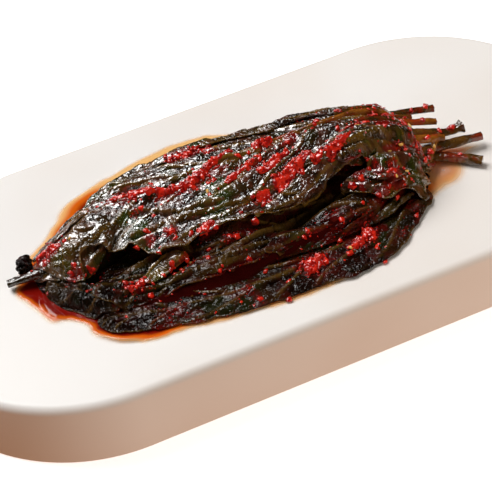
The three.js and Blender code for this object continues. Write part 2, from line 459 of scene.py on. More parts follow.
@dataclass
class Nodes:
    """The shader nodes of one material, or of the room.

    Attributes:
        tree: The node tree that they are in.
    """

    tree: bpy.types.NodeTree

    @cached_property
    def places(self) -> Link:
        """The object's own coordinates, in metres."""
        return self.add("TexCoord", {}).outputs["Object"]

    def feed(self, node: bpy.types.Node, inputs: Inputs) -> None:
        """Sets the inputs of a node.

        Args:
            node: The node.
            inputs: A value, or a socket to link, for each input's name or number.
        """
        for key, value in inputs.items():
            if isinstance(value, Link):
                self.tree.links.new(value, node.inputs[key])
            else:
                node.inputs[key].default_value = value

    def add(self, kind: str, inputs: Inputs, **settings: object) -> bpy.types.Node:
        """Adds a shader node.

        Args:
            kind: The node's type without the leading ShaderNode.
            inputs: A value, or a socket to link, for each input's name or number.
            **settings: The node's own settings.

        Returns:
            The node.
        """
        made = self.tree.nodes.new("ShaderNode" + kind)
        for name, value in settings.items():
            setattr(made, name, value)
        self.feed(made, inputs)
        return made

    def attribute(self, name: str, output: str = "Fac") -> Link:
        """What each vertex of the piece stores under a name."""
        return self.add("Attribute", {}, attribute_name=name).outputs[output]

    def noise(self, scale: float, detail: float = 2.0) -> Link:
        """Soft noise over the object, with its scale in swings to the metre."""
        return self.add("TexNoise", {"Scale": scale, "Detail": detail, "Vector": self.places}).outputs["Fac"]

    def maths(self, operation: str, *terms: float | Link) -> Link:
        """Works out one number from others."""
        return self.add("Math", dict(enumerate(terms)), operation=operation).outputs[0]

    def vectors(self, operation: str, *terms: Point | Link, output: str = "Vector") -> Link:
        """Works out one vector or number from vectors."""
        return self.add("VectorMath", dict(enumerate(terms)), operation=operation).outputs[output]

    def blend(self, share: Link, first: str | Link, second: str | Link) -> Link:
        """Mixes two colours, each a hex code or a socket, by a share."""
        first, second = (linear(colour) if isinstance(colour, str) else colour for colour in (first, second))
        return self.add("Mix", {0: share, 6: first, 7: second}, data_type="RGBA").outputs[2]

    def ramp(self, source: Link, low: float, high: float, to: Point = (0.0, 1.0)) -> Link:
        """Maps low..high of a value to a smooth step between two numbers."""
        inputs = {0: source, 1: low, 2: high, 3: to[0], 4: to[1]}
        return self.add("MapRange", inputs, interpolation_type="SMOOTHSTEP").outputs[0]

    def bump(self, height: Link, distance: float, strength: float = 1.0, under: Link | None = None) -> Link:
        """The normal that a height gives.

        Args:
            height: The height.
            distance: How far a height of 1 stands up, in millimetres.
            strength: How much of it shows.
            under: The normal that it is laid over, if any.

        Returns:
            The normal.
        """
        inputs: Inputs = {"Strength": strength, "Distance": distance * MM, "Height": height}
        if under is not None:
            inputs["Normal"] = under
        return self.add("Bump", inputs).outputs["Normal"]

    def scattered(self, size: float) -> bpy.types.Node:
        """Cells round points strewn over the object, by their spacing in millimetres."""
        return self.add("TexVoronoi", {"Scale": 1 / (size * MM), "Randomness": 1.0, "Vector": self.places})

    def tint_of(self, cells: bpy.types.Node) -> Link:
        """A random number from 0 to 1 for each cell."""
        return self.add("SeparateColor", {0: cells.outputs["Color"]}).outputs[0]

    def speckle(self, size: float, amount: float) -> Link:
        """Scattered specks, by their spacing and how much of it one fills: 1 inside a speck and 0 outside."""
        return self.ramp(self.scattered(size).outputs["Distance"], amount, 0.6 * amount)

    def droplets(self, size: float, share: float) -> Link:
        """The height of small domes of oil on some of the cells of a scattered pattern.

        Args:
            size: The spacing of the cells.
            share: How many of the cells carry a drop.

        Returns:
            The height, from 0 to 1.
        """
        cells = self.scattered(size)
        dome = self.ramp(cells.outputs["Distance"], 0.36, 0.0)
        return self.maths("MULTIPLY", dome, self.ramp(self.tint_of(cells), share, share - 0.04))

    def panels(self, places: Link, size: float, tilt: float, groove: float) -> Link:
        """The height of taut little panels of skin, each leaning its own way, with grooves between them.

        Args:
            places: Coordinates in millimetres.
            size: How wide a panel is.
            tilt: The steepest lean, as a slope.
            groove: How deep the grooves are.

        Returns:
            The height, in millimetres.
        """
        inputs = {"Scale": 1 / size, "Randomness": 0.9, "Vector": places}
        panel = self.add("TexVoronoi", inputs, voronoi_dimensions="2D").outputs
        edges = self.add("TexVoronoi", inputs, voronoi_dimensions="2D", feature="DISTANCE_TO_EDGE").outputs
        lean = self.vectors("MULTIPLY_ADD", panel["Color"], (2 * tilt, 2 * tilt, 0.0), (-tilt, -tilt, 0.0))
        away = self.vectors("SUBTRACT", places, panel["Position"])
        rise = self.vectors("DOT_PRODUCT", away, lean, output="Value")
        inner = self.ramp(edges["Distance"], 0.0, 0.14)
        return self.maths("MULTIPLY_ADD", inner, groove, self.maths("MULTIPLY", rise, inner))


def new_material(name: str) -> tuple[bpy.types.Material, Nodes, bpy.types.Node]:
    """A new material with its nodes and its shader."""
    made = bpy.data.materials.new(name)
    made.use_nodes = True
    return made, Nodes(made.node_tree), made.node_tree.nodes["Principled BSDF"]


@dataclass(frozen=True)
class Glaze:
    """White stoneware glaze: a smooth satin coat over a cast slab, so it gives soft, wide reflections."""

    body: str = "#f4f0ec"
    warm: str = "#efe7e0"
    roughness: float = 0.36

    def material(self) -> bpy.types.Material:
        """Makes the material."""
        made, nodes, shader = new_material("glazed_stoneware")
        nodes.feed(shader, {
            "Base Color": nodes.blend(nodes.ramp(nodes.noise(14.0), 0.4, 0.75), self.body, self.warm),
            "Normal": nodes.bump(nodes.noise(420.0, 1.0), 0.2, 0.05),
            "Roughness": self.roughness,
            "IOR": 1.5,
            "Specular IOR Level": 0.35,
        })
        return made


@dataclass(frozen=True)
class LeafSkin:
    """Brined perilla leaf: dark limp skin under brine and chilli oil, so its puffed panels mirror the light.

    Attributes:
        name: The material's name.
        dark, olive, green, brown: The tones of the skin.
        vein, warm_vein: The veins, bare and under sauce.
        sauce, speck: The sauce's film and the specks in it.
        panel, fine_panel: How wide the large and the small panels of skin are.
        tilt: How far the panels lean, as a slope.
        oil: How thick the coat of oil is, from 0 to 1.
        oil_ior, skin_ior: How strongly the oil and the skin mirror.
        drop: How high the drops of oil stand.
    """

    name: str = "pickled_leaf_skin"
    dark: str = "#27160b"
    olive: str = "#463312"
    green: str = "#31400c"
    brown: str = "#602a12"
    vein: str = "#86611f"
    warm_vein: str = "#95540f"
    sauce: str = "#8c100c"
    speck: str = "#c81c12"
    panel: float = 3.0
    fine_panel: float = 1.2
    tilt: float = 0.18
    oil: float = 1.0
    oil_ior: float = 2.15
    skin_ior: float = 1.7
    drop: float = 0.4

    def material(self) -> bpy.types.Material:
        """Makes the material, which reads each leaf's leaf_mm, vein and sauce attributes."""
        made, nodes, shader = new_material(self.name)
        wet, tone = nodes.attribute("sauce"), nodes.noise(240.0)
        normal = self._normal(nodes)
        nodes.feed(shader, {
            "Base Color": self._colour(nodes, wet, tone),
            "Normal": normal,
            "Coat Normal": nodes.bump(nodes.droplets(1.4, 0.45), self.drop, under=normal),
            "Roughness": nodes.ramp(tone, 0.35, 0.7, (0.22, 0.38)),
            "IOR": self.skin_ior,
            "Specular IOR Level": 0.5 * self.oil,
            "Coat Weight": self.oil,
            "Coat Roughness": 0.08,
            "Coat IOR": self.oil_ior,
        })
        return made

    def _colour(self, nodes: Nodes, wet: Link, tone: Link) -> Link:
        """The skin's patches of colour under its veins, its film of sauce and the specks."""
        fresh = nodes.blend(nodes.ramp(nodes.noise(45.0, 1.0), 0.46, 0.56), self.olive, self.green)
        colour = nodes.blend(nodes.ramp(nodes.noise(110.0, 3.0), 0.4, 0.62), self.dark, fresh)
        colour = nodes.blend(nodes.ramp(tone, 0.45, 0.66, (0.0, 0.8)), colour, self.brown)
        vein_colour = nodes.blend(nodes.ramp(wet, 0.2, 0.6), self.vein, self.warm_vein)
        colour = nodes.blend(nodes.attribute("vein"), colour, vein_colour)
        film = nodes.maths("ADD", nodes.noise(330.0, 2.5), nodes.maths("MULTIPLY", wet, 0.55))
        colour = nodes.blend(nodes.ramp(film, 0.74, 0.92, (0.0, 0.8)), colour, self.sauce)
        specks = nodes.maths("MULTIPLY", nodes.speckle(1.3, 0.26), nodes.ramp(wet, 0.1, 0.6))
        return nodes.blend(specks, colour, self.speck)

    def _normal(self, nodes: Nodes) -> Link:
        """The normal of large and small panels, whose borders wander over the leaf."""
        on_leaf = nodes.attribute("leaf_mm", "Vector")
        wander = nodes.add("TexNoise", {"Scale": 0.55, "Detail": 2.0, "Vector": on_leaf}).outputs["Color"]
        warped = nodes.vectors("MULTIPLY_ADD", wander, (2.4, 2.4, 0.0), on_leaf)
        normal = None
        for size, tilt, groove in ((self.panel, self.tilt, 0.26), (self.fine_panel, 0.45 * self.tilt, 0.07)):
            normal = nodes.bump(nodes.panels(warped, size, tilt, groove), 1.0, under=normal)
        return normal


@dataclass(frozen=True)
class StalkSkin:
    """Brined leaf stalk: ribbed lengthwise, olive to orange-brown and wet."""

    name: str = "pickled_stalk"
    dark: str = "#33240d"
    light: str = "#634016"
    stain: str = "#80200c"
    roughness: float = 0.25

    def material(self) -> bpy.types.Material:
        """Makes the material."""
        made, nodes, shader = new_material(self.name)
        colour = nodes.blend(nodes.ramp(nodes.noise(160.0, 3.0), 0.35, 0.65), self.dark, self.light)
        stained = nodes.ramp(nodes.noise(210.0), 0.48, 0.66, (0.0, 0.85))
        normal = nodes.bump(nodes.noise(900.0), 0.4, 0.9)
        nodes.feed(shader, {
            "Base Color": nodes.blend(stained, colour, self.stain),
            "Normal": normal,
            "Coat Normal": normal,
            "Roughness": self.roughness,
            "IOR": 1.42,
            "Coat Weight": 1.0,
            "Coat Roughness": 0.08,
            "Coat IOR": 1.7,
        })
        return made


@dataclass(frozen=True)
class ChilliPaste:
    """Ground red chilli in oil and brine: wet grains packed together, saturated and glinting."""

    name: str = "chilli_paste"
    deep: str = "#a00a0c"
    bright: str = "#f2301a"
    grain: float = 1.3
    roughness: float = 0.3

    def material(self) -> bpy.types.Material:
        """Makes the material."""
        made, nodes, shader = new_material(self.name)
        grains = nodes.scattered(self.grain)
        normal = nodes.bump(nodes.ramp(grains.outputs["Distance"], 0.9, 0.0), 0.3)
        nodes.feed(shader, {
            "Base Color": nodes.blend(nodes.tint_of(grains), self.deep, self.bright),
            "Normal": normal,
            "Coat Normal": normal,
            "Roughness": self.roughness,
            "IOR": 1.4,
            "Coat Weight": 1.0,
            "Coat Roughness": 0.05,
            "Coat IOR": 1.62,
            "Subsurface Weight": 0.08,
            "Subsurface Scale": 0.8 * MM,
            "Subsurface Radius": (1.0, 0.2, 0.1),
        })
        return made


@dataclass(frozen=True)
class Sauce:
    """Chilli brine: a thin clear film, deep red where it is thick and yellow where it has dried."""

    name: str = "chilli_brine"
    deep: str = "#7e0e06"
    middle: str = "#e0640f"
    pale: str = "#fbc47c"

    def material(self) -> bpy.types.Material:
        """Makes the material, which reads the film's depth and cover attributes."""
        made, nodes, shader = new_material(self.name)
        depth = nodes.attribute("depth")
        colour = nodes.blend(nodes.ramp(depth, 0.02, 0.36), self.pale, self.middle)
        nodes.feed(shader, {
            "Base Color": nodes.blend(nodes.ramp(depth, 0.36, 0.82), colour, self.deep),
            "Alpha": nodes.attribute("cover"),
            "Roughness": 0.08,
            "IOR": 1.38,
        })
        return made


@dataclass(frozen=True)
class PlainFinish:
    """A simple finish with a little cloudiness, for seeds and the floor."""

    name: str
    first: str
    second: str
    roughness: float
    cloud: float

    def material(self) -> bpy.types.Material:
        """Makes the material."""
        made, nodes, shader = new_material(self.name)
        cloud = nodes.ramp(nodes.noise(1 / (self.cloud * MM)), 0.35, 0.65)
        colour = nodes.blend(cloud, self.first, self.second)
        nodes.feed(shader, {"Base Color": colour, "Roughness": self.roughness})
        return made


# ---------------------------------------------------------------- the slab


@dataclass
class Slab:
    """The thick plate with round ends, cast in one piece.

    Attributes:
        corner: How far its ends are rounded in plan.
        top_round: How far the upper rim is rounded.
        foot_round: How far the foot is.
        steps: How many facets a corner has in plan.
    """

    corner: float = 51.0
    top_round: float = 2.6
    foot_round: float = 1.2
    steps: int = 40

    def build(self, material: bpy.types.Material) -> None:
        """Builds the plate from a cube whose corners and rims are bevelled.

        Args:
            material: The glaze.
        """
        deselect()
        size = SLAB_HIGH - SLAB_LOW
        middle = (SLAB_HIGH + SLAB_LOW) / 2
        bpy.ops.mesh.primitive_cube_add(size=1, location=middle * MM)
        plate = bpy.context.object
        plate.name = plate.data.name = "plate_slab"
        plate.scale = size * MM
        bpy.ops.object.transform_apply(location=True, rotation=True, scale=True)
        self._bevel(plate, lambda a, b: abs(a[2] - b[2]) > MM, self.corner, self.steps)
        top, foot = SLAB_HIGH[2] * MM, SLAB_LOW[2] * MM
        self._bevel(plate, lambda a, b: min(a[2], b[2]) > top - 1e-6, self.top_round, 8)
        self._bevel(plate, lambda a, b: max(a[2], b[2]) < foot + 1e-6, self.foot_round, 4)
        finish_piece(plate, material, "glaze", "plate")
        bpy.ops.object.shade_smooth_by_angle(angle=math.radians(25))

    @staticmethod
    def _bevel(
        plate: bpy.types.Object, wanted: Callable[[Vector, Vector], bool], radius: float, steps: int
    ) -> None:
        """Rounds some of the plate's edges.

        Args:
            plate: The plate.
            wanted: Whether an edge is rounded, by its two ends.
            radius: How wide it is rounded.
            steps: How many facets it gets.
        """
        with edit_mode(plate):
            bpy.ops.mesh.select_mode(type="EDGE")
            bpy.ops.mesh.select_all(action="DESELECT")
        places = [v.co for v in plate.data.vertices]
        for edge in plate.data.edges:
            a, b = (places[i] for i in edge.vertices)
            edge.select = wanted(a, b)
        with edit_mode(plate):
            bpy.ops.mesh.bevel(offset=radius * MM, segments=steps, affect="EDGES", offset_type="OFFSET")


# ---------------------------------------------------------------- the leaves


# Patches of sauce and of pale skin on the leaves: middle x, middle y, half length and half width.
SMEARS = [
    (-15, 11.5, 7, 2.6), (-8, 9, 4, 2), (-30, -11, 2.6, 2), (-19, -14, 5, 1.8), (-29, -20, 3, 2),
    (-36, -10, 2, 2), (-37, -1, 2, 2), (-55, -10, 3, 2), (6, 1, 4, 2.2), (14, -1, 3, 2),
    (0, -3, 5, 1.8), (7, -10, 5, 2.4), (23, -11, 5, 1.8), (-2, -12.5, 5, 1.6), (4, -35, 6, 4),
    (20, -33, 6, 4), (-12, -18.5, 6, 1.6), (-45, -21, 4, 2.5), (-18, -27.6, 11, 0.8),
    (8, -27.6, 9, 0.9), (-40, -27, 7, 0.7), (-62, 11, 4, 3), (-20, 0, 12, 2.2), (-35, 5, 6, 2),
    (33, -19, 3, 2.6), (37, -20.5, 3.4, 3), (41, -14, 4, 1.6), (50, -12, 3, 3), (-40, 8, 4, 2),
    (-65, 3, 4, 2.4), (36, 2, 6, 2), (44, -2, 6, 3), (42, -8, 5, 2), (33, -6, 4, 1.6), (48, -6, 3, 3),
    (-63, 2, 5, 2), (-59, -7, 3, 1.6), (36, -23.5, 5, 2.2), (31, -24.5, 4, 1.6), (28, -16, 3, 1.4),
]
# The pale patches are partly the leaves' own paler, thinner skin, partly a painted glow of light through the
# thin leaf.
PALE_PATCHES = [(35, -26, 8, 4), (-60, -1, 10, 7), (-37, -18.6, 5, 2.8), (-34, 14, 6, 3), (-20, -26, 8, 2)]


def patched(patches: list[tuple[float, ...]], x: Array, y: Array) -> Array:
    """How much of each place of the bunch lies in soft round patches, from 0 to 1.

    Args:
        patches: The patches, each with its middle and its half length and half width.
        x: Places along the slab.
        y: Places across it.

    Returns:
        The share of cover at each place.
    """
    total = np.zeros_like(x)
    for cx, cy, rx, ry in patches:
        total = np.maximum(total, np.exp(-(((x - cx) / rx) ** 2) - ((y - cy) / ry) ** 2))
    return total


class Skin(Enum):
    """Which skin a leaf has: glossy on top; wet with sauce and darker, partly painted shade; or nearly black,
    painted shade.
    """

    GLOSSY = "glossy"
    SOAKED = "soaked"
    SHADED = "shaded"


@dataclass
class Lift:
    """A stretch of a leaf's rim that stands up from what it lies on.

    Attributes:
        middle: The middle of the stretch, from 0 at the stalk to 1 at the tip.
        half_length: How far it reaches to either side of it, in the same measure.
        height: How high the rim stands up.
        side: -1 for the front rim and 1 for the back rim.
        depth: The share of the blade's width that stands up with the rim.
        tint: How far the rim shows its paler edge, partly its own colour and partly a painted highlight and
            glow of light through the thin rim.
    """

    middle: float
    half_length: float
    height: float
    side: int = -1
    depth: float = 0.45
    tint: float = 0.0

    def rise(self, along: Array, across: Array) -> Array:
        """How far it lifts the leaf at each place.

        Args:
            along: Places along the leaf, 0 at the stalk and 1 at the tip.
            across: Places across it, -1 on the front rim and 1 on the back rim.

        Returns:
            The rise at each place.
        """
        lengthwise = 1 - np.clip(np.abs(along - self.middle) / self.half_length, 0, 1)
        crosswise = eased(1 - self.depth, 1, across * self.side)
        return self.height * lengthwise**0.6 * crosswise

    def shade(self, along: Array, across: Array) -> Array:
        """How far it shows the paler edge of the leaf at each place: partly its own colour, partly painted
        highlight and glow.
        """
        near = 1 - np.clip(np.abs(along - self.middle) / self.half_length, 0, 1)
        rim = eased(1 - 0.6 * self.depth, 1 - 0.3 * self.depth, across * self.side)
        return self.tint * eased(0.0, 0.3, near) * rim


@dataclass(frozen=True)
class Furrow:
    """A long sharp fold in a leaf: a furrow with a paler crest behind it.

    Attributes:
        way: The line of the fold in plan, from the tips towards the stalks.
        depth: How deep the furrow is.
        crest: How high the crest stands.
        tint: How far the crest shows its paler vein.
    """

    way: tuple[Point, ...]
    depth: float = 1.0
    crest: float = 0.5
    tint: float = 0.45

    def shape(self, x: Array, y: Array) -> tuple[Array, Array]:
        """How far it raises the leaf and how far its vein shows at each place in plan."""
        line = spline(self.way, np.linspace(0, 1, 16 * len(self.way)))
        ahead = unit(np.gradient(line, axis=0))
        nearest, behind = np.full(x.shape, FAR), np.zeros_like(x)
        for (px, py), (tx, ty) in zip(line, ahead):
            away = np.hypot(x - px, y - py)
            side = tx * (y - py) - ty * (x - px)
            behind = np.where(away < nearest, np.sign(side) * away, behind)
            nearest = np.minimum(nearest, away)
        crest = np.exp(-(((behind - 0.6) / 0.42) ** 2))
        rise = self.crest * crest - self.depth * np.exp(-(((behind + 0.35) / 0.6) ** 2))
        return rise, self.tint * np.exp(-(((behind - 0.6) / 0.3) ** 2))


MAIN_FURROWS = (
    Furrow(
        (
            (-27.5, -8.1), (-21.6, -9.1), (-14.6, -10.5), (-7.8, -11.7), (-2.1, -11.6), (4.4, -11.4),
            (9.1, -10.5),
        ),
        1.4,
    ),
    Furrow(((-39.9, -6.9), (-33.1, -7.7), (-25.7, -6.9), (-22.1, -6.8), (-13.8, -9.2)), 0.9, 0.6),
    Furrow(((-37.6, -0.3), (-33.3, -1), (-29.6, -3.8), (-25.8, -5.6)), 1.0, 0.3),
    Furrow(((-12.4, -16.4), (-3.8, -16.2), (4.8, -15.8), (12.3, -15.4), (19.4, -13.6)), 0.7, 0.6, 0.9),
    Furrow(((-36.9, 9.2), (-32.3, 8.7), (-27.7, 7.7), (-23.7, 5.6)), 0.7, 0.4),
    Furrow(((-12.3, 2.4), (-5.3, 1.3), (-0.5, 0.5), (3.2, 0)), 0.5, 0.5, 1.0),
    Furrow(((-12.2, -5.7), (-5.3, -5), (-1.1, -3.7), (2.4, -2.7), (4.4, -0.6)), 0.6, 0.5, 0.9),
)
NECK_FURROWS = (
    Furrow(((14, -11), (24, -9.8), (33, -8.4), (42, -8), (51, -9.6)), 1.6, 0.8, 0.7),
    Furrow(((18, -12.6), (28, -12), (38, -11.4), (50, -13)), 1.5, 0.8, 0.7),
    Furrow(((36, -6.4), (43, -6.6), (51, -7.6)), 1.2, 0.6),
    Furrow(((24, -14.4), (33, -14.4), (44, -15)), 1.3, 0.6, 0.6),
)
FRONT_FURROWS = (
    Furrow(((-12, -22), (-4.7, -20.4), (3.2, -19), (10.4, -18), (18, -16.8)), 0.8, 0.7, 0.5),
    Furrow(((-46, -15), (-36, -18.4), (-24, -19.6), (-12, -19.4)), 0.6, 0.4, 0.4),
    Furrow(((-49, -22), (-38, -23.4), (-20, -24.4), (-2, -24)), 0.6, 0.4, 0.5),
)


@dataclass
class Leaf:
    """One perilla leaf of the bunch, limp and pleated lengthwise.

    Attributes:
        name: The piece's name.
        midrib: Points of the midrib in plan, from the stalk to the tip.
        front: Reach of the blade in front of the midrib at even steps along it.
        back: Its reach behind the midrib.
        pleat: Height of the lengthwise pleats.
        pleats: How many pleats there are across the blade.
        crumple: Height of the crumples.
        tip_crumple: What is added to them near the tip.
        rib: Height of the midrib.
        wet: How much sauce clings to the leaf, from 0 to 1.
        lifts: Stretches of rim that stand up.
        furrows: Its long sharp folds.
        skin: Its skin.
        over: How far it may rise over the finished bunch.
        taut: How far under the finished bunch it holds itself over hollows, or nothing if it sags into them.
        seed: Picks its folds.
        nodes: The solid nodes that it replaces.
        spacing: How wide a face of its mesh is.
        thickness: How thick the blade is.
        drape: How far it bridges what it lies on.
        vein_step: The spacing of the side veins.
        vein_lean: How far a side vein runs towards the tip for each step outwards.
        vein_rise: Height of the side veins and of the swellings between them.
        pucker: Height of the puffed cells between the small veins.
    """

    name: str
    midrib: list[Point]
    front: list[float]
    back: list[float]
    pleat: float = 1.0
    pleats: float = 3.0
    crumple: float = 0.7
    tip_crumple: float = 0.0
    rib: float = 0.6
    wet: float = 0.2
    lifts: list[Lift] = field(default_factory=list)
    furrows: tuple[Furrow, ...] = ()
    skin: Skin = Skin.GLOSSY
    over: float = 0.3
    taut: float | None = None
    seed: int = 1
    nodes: tuple[str, ...] = ()
    spacing: float = 0.4
    thickness: float = 0.42
    drape: float = 1.3
    vein_step: float = 15.0
    vein_lean: float = 2.2
    vein_rise: float = 0.9
    pucker: float = 0.12

    def length(self) -> float:
        """The length of the midrib."""
        return length_of(self.midrib)

    def width(self) -> float:
        """The greatest width of the blade."""
        return max(self.front) + max(self.back)

    def lay(self, ground: Ground) -> None:
        """Raises the ground by the leaf without building it."""
        rows, columns = round(2 * self.length()), round(2 * self.width())
        along, across = (a.ravel() for a in np.meshgrid(np.linspace(0, 1, rows), np.linspace(-1, 1, columns)))
        x, y, z = self._surface(ground, along, across)[:3]
        ground.raise_to(x, y, z)

    def build(self, ground: Ground, skins: dict[Skin, bpy.types.Material]) -> None:
        """Shapes the leaf over the ground and raises the ground by it.

        Args:
            ground: What the leaf lies on.
            skins: The leaf skins to choose from.
        """
        rows, columns = round(self.length() / self.spacing), round(self.width() / self.spacing)
        piece, along, across = sheet_grid(self.name, rows, columns)
        x, y, z, lengthwise, crosswise, vein, relief = self._surface(ground, along, across)
        ground.raise_to(x, y, z)
        set_vertices(piece, np.stack([x, y, z], 1) * MM)
        hollow = np.clip(1 - relief / (relief.mean() + 1e-6), 0, 1)
        film = self.wet * eased(-0.3, 0.8, layered_noise(x / 9, y / 9, self.seed + 40) + 0.8 * hollow - 0.3)
        film += patched(SMEARS, x, y) + 0.5 * (1 - eased(0.0, 0.2, along))
        # Pale patches lighten the skin: partly its own colour, partly a painted glow of light through the leaf.
        pale = 0.55 * patched(PALE_PATCHES, x, y) * (0.7 + 0.5 * noise(x / 4, y / 4, self.seed))
        vein = np.maximum(vein, pale)
        on_leaf = np.stack([lengthwise, crosswise, 0 * x + self.seed * 7.3], 1)
        mark_skin(piece, on_leaf, vein, np.clip(film, 0, 1))
        apply_modifier(piece, "SOLIDIFY", thickness=self.thickness * MM, offset=-1.0, use_rim=True)
        finish_piece(piece, skins[self.skin], "leaf", *self.nodes)

    def _surface(self, ground: Ground, along: Array, across: Array) -> tuple[Array, ...]:
        """The leaf's upper surface over the ground.

        Args:
            ground: What the leaf lies on.
            along: Places along the leaf.
            across: Places across it.

        Returns:
            The x, y and z of each place, its lengths along and across the leaf, its vein and its relief.
        """
        x, y, reach = self._plan(along, across)
        firm = ground.blurred(ground.widened(0.8), self.drape)
        close = ground.widened(ground.pitch)
        support = np.maximum(ground.at(x, y, firm), ground.at(x, y, close))
        if self.taut is not None and ground.finished is not None:
            support = np.maximum(support, ground.at(x, y, ground.finished) - self.taut)
        lengthwise, crosswise = along * self.length(), self._arc(x, y, ground.at(x, y, firm), across)
        vein, relief = self._relief(along, across, lengthwise, crosswise)
        rim = eased(0, 2.2, (1 - np.abs(across)) * reach) * eased(0, 0.04, 1 - along)
        rise = 0.15 + self.thickness + relief * (0.12 + 0.88 * rim)
        out = ground.normals(x, y, self.drape)
        x, y, z = x + out[:, 0] * rise, y + out[:, 1] * rise, support + out[:, 2] * rise
        if ground.finished is not None:
            lid = ground.at(x, y, ground.finished) + self.over + 0.6 * relief * rim
            z = np.maximum(np.minimum(z, lid), ground.at(x, y, close) + 0.3 + 0.25 * relief * rim)
        for furrow in self.furrows:
            rise, crest = furrow.shape(x, y)
            z, vein = z + rise * rim, np.maximum(vein, crest * rim)
        for lift in self.lifts:
            z += lift.rise(along, across)
            vein = np.maximum(vein, lift.shade(along, across))
        # A paler line along the blade's edges: partly the leaf's own paler rim, partly a painted highlight
        # along the edge.
        edge = eased(0.5, 0.1, (1 - np.abs(across)) * reach)
        edge *= eased(-0.4, 0.5, noise(lengthwise / 5, across, self.seed))
        return x, y, z, lengthwise, crosswise, np.maximum(vein, 0.7 * edge), relief

    @staticmethod
    def _arc(x: Array, y: Array, z: Array, across: Array) -> Array:
        """How far each vertex of the blade's grid lies from the midrib, measured over the surface."""
        columns = len(np.unique(np.round(across, 6)))
        grid = np.stack([x, y, z], 1).reshape(columns, -1, 3)
        steps = np.linalg.norm(np.diff(grid, axis=0), axis=2)
        far = np.vstack([np.zeros(steps.shape[1]), np.cumsum(steps, 0)])
        middle = np.argmin(np.abs(across.reshape(columns, -1)[:, 0]))
        return (far - far[middle]).ravel()

    def _plan(self, along: Array, across: Array) -> tuple[Array, Array, Array]:
        """Where each vertex lies in plan, and how far the blade reaches at it."""
        middle = spline(self.midrib, along)
        step = 1e-3
        ahead = unit(spline(self.midrib, along + step) - spline(self.midrib, along - step))
        sideways = np.stack([ahead[:, 1], -ahead[:, 0]], 1)  # the back, because a midrib runs towards -X
        sideways *= np.where(sideways[:, 1:] < 0, -1, 1)
        reach_front = spline([(w,) for w in self.front], along)[:, 0]
        reach_back = spline([(w,) for w in self.back], along)[:, 0]
        reach = np.where(across < 0, reach_front, reach_back)
        side = np.where(across < 0, 0.0, 5.3)
        length = self.length()
        ragged = noise(along * length / 7, side, self.seed) * 0.09
        ragged += noise(along * length / 2.6, side, self.seed + 3) * 0.05
        teeth = 0.5 * np.abs(((along * length / 3.4 + 0.3 * noise(along * 20, side, self.seed)) % 1) - 0.5)
        tip = np.sqrt(np.clip(1 - ((along - 0.9) / 0.1).clip(0, 1) ** 2, 0, 1))
        tip *= np.sqrt(np.clip(1 - ((0.07 - along) / 0.07).clip(0, 1) ** 2, 0, 1))
        reach = np.maximum(reach * (1 + ragged) * tip + teeth * np.abs(across), 0.3)
        wander = 0.9 * noise(along * length / 16, 0 * along, self.seed + 9)
        offset = across * reach + wander
        x = middle[:, 0] + sideways[:, 0] * offset
        y = middle[:, 1] + sideways[:, 1] * offset
        return x, y, reach

    def _relief(
        self, along: Array, across: Array, lengthwise: Array, crosswise: Array
    ) -> tuple[Array, Array]:
        """The leaf's own veins and relief.

        Args:
            along: Places along the leaf, as shares of it.
            across: Places across it, as shares of its reach.
            lengthwise: Places along the leaf, as lengths.
            crosswise: Places across it, as lengths over the surface.

        Returns:
            How far a vein shows, from 0 to 1, and the height of the relief.
        """
        seed = self.seed
        away = np.abs(crosswise)
        side = np.where(crosswise < 0, 0.0, 31.7)
        bend = noise(lengthwise / 22, 0 * along, seed + 1)
        lanes = across * self.pleats / 2 + 0.4 * bend
        folds = 1 - np.abs(np.sin(np.pi * (lanes + 0.35 * noise(lengthwise / 18, lanes, seed + 2)))) ** 1.3
        folds *= self.pleat * (0.6 + 0.4 * noise(lengthwise / 26, across * 1.7, seed + 4))
        slant = lengthwise - self.vein_lean * away
        phase = (slant / self.vein_step + 0.25 * noise(lengthwise / 11, side + away / 9, seed + 11)) % 1
        inner = eased(0.3, 2.0, away) * eased(0.0, 0.15, along) * (1 - eased(0.7, 1.0, np.abs(across)))
        swell = phase**1.4 * (1 - eased(0.84, 1.0, phase))
        crest = np.exp(-(((phase - 0.86) * self.vein_step / 0.6) ** 2)) * inner
        crumples = creases(slant / 7, away / 3.6, seed + 6) ** 2.5 * 0.8
        crumples += 0.6 * creases(slant / 3.6 + 9, (away + side) / 2.3, seed + 7) ** 2
        crumples += 0.5 * creases(lengthwise / 13 + 4, crosswise / 2.6, seed + 12) ** 3
        crumples += 0.35 * creases(lengthwise / 9, crosswise / 1.7, seed + 13) ** 3
        cells = puffs(slant / 2.3, crosswise / 1.5, seed + 8) ** 0.6
        cells += 0.5 * puffs(slant / 1.3, crosswise / 1.1, seed + 9)
        thick = 0.75 - 0.4 * along
        midrib = np.exp(-((crosswise / thick) ** 2)) * (1 - 0.75 * along)
        vein = np.clip(midrib * 1.1 + 0.75 * crest, 0, 1)
        pale_base = 0.55 * (1 - eased(0.02, 0.22, along))
        pale_base *= 0.6 + 0.4 * noise(crosswise / 0.9, lengthwise / 9, seed)
        vein = np.maximum(vein, pale_base)
        crumple = self.crumple + self.tip_crumple * eased(0.78, 0.9, along)
        relief = folds + crumple * crumples + self.pucker * cells * (1 - 0.7 * np.clip(midrib + crest, 0, 1))
        relief += self.vein_rise * (0.75 * swell * inner + 0.5 * crest) + self.rib * midrib
        return vein, relief


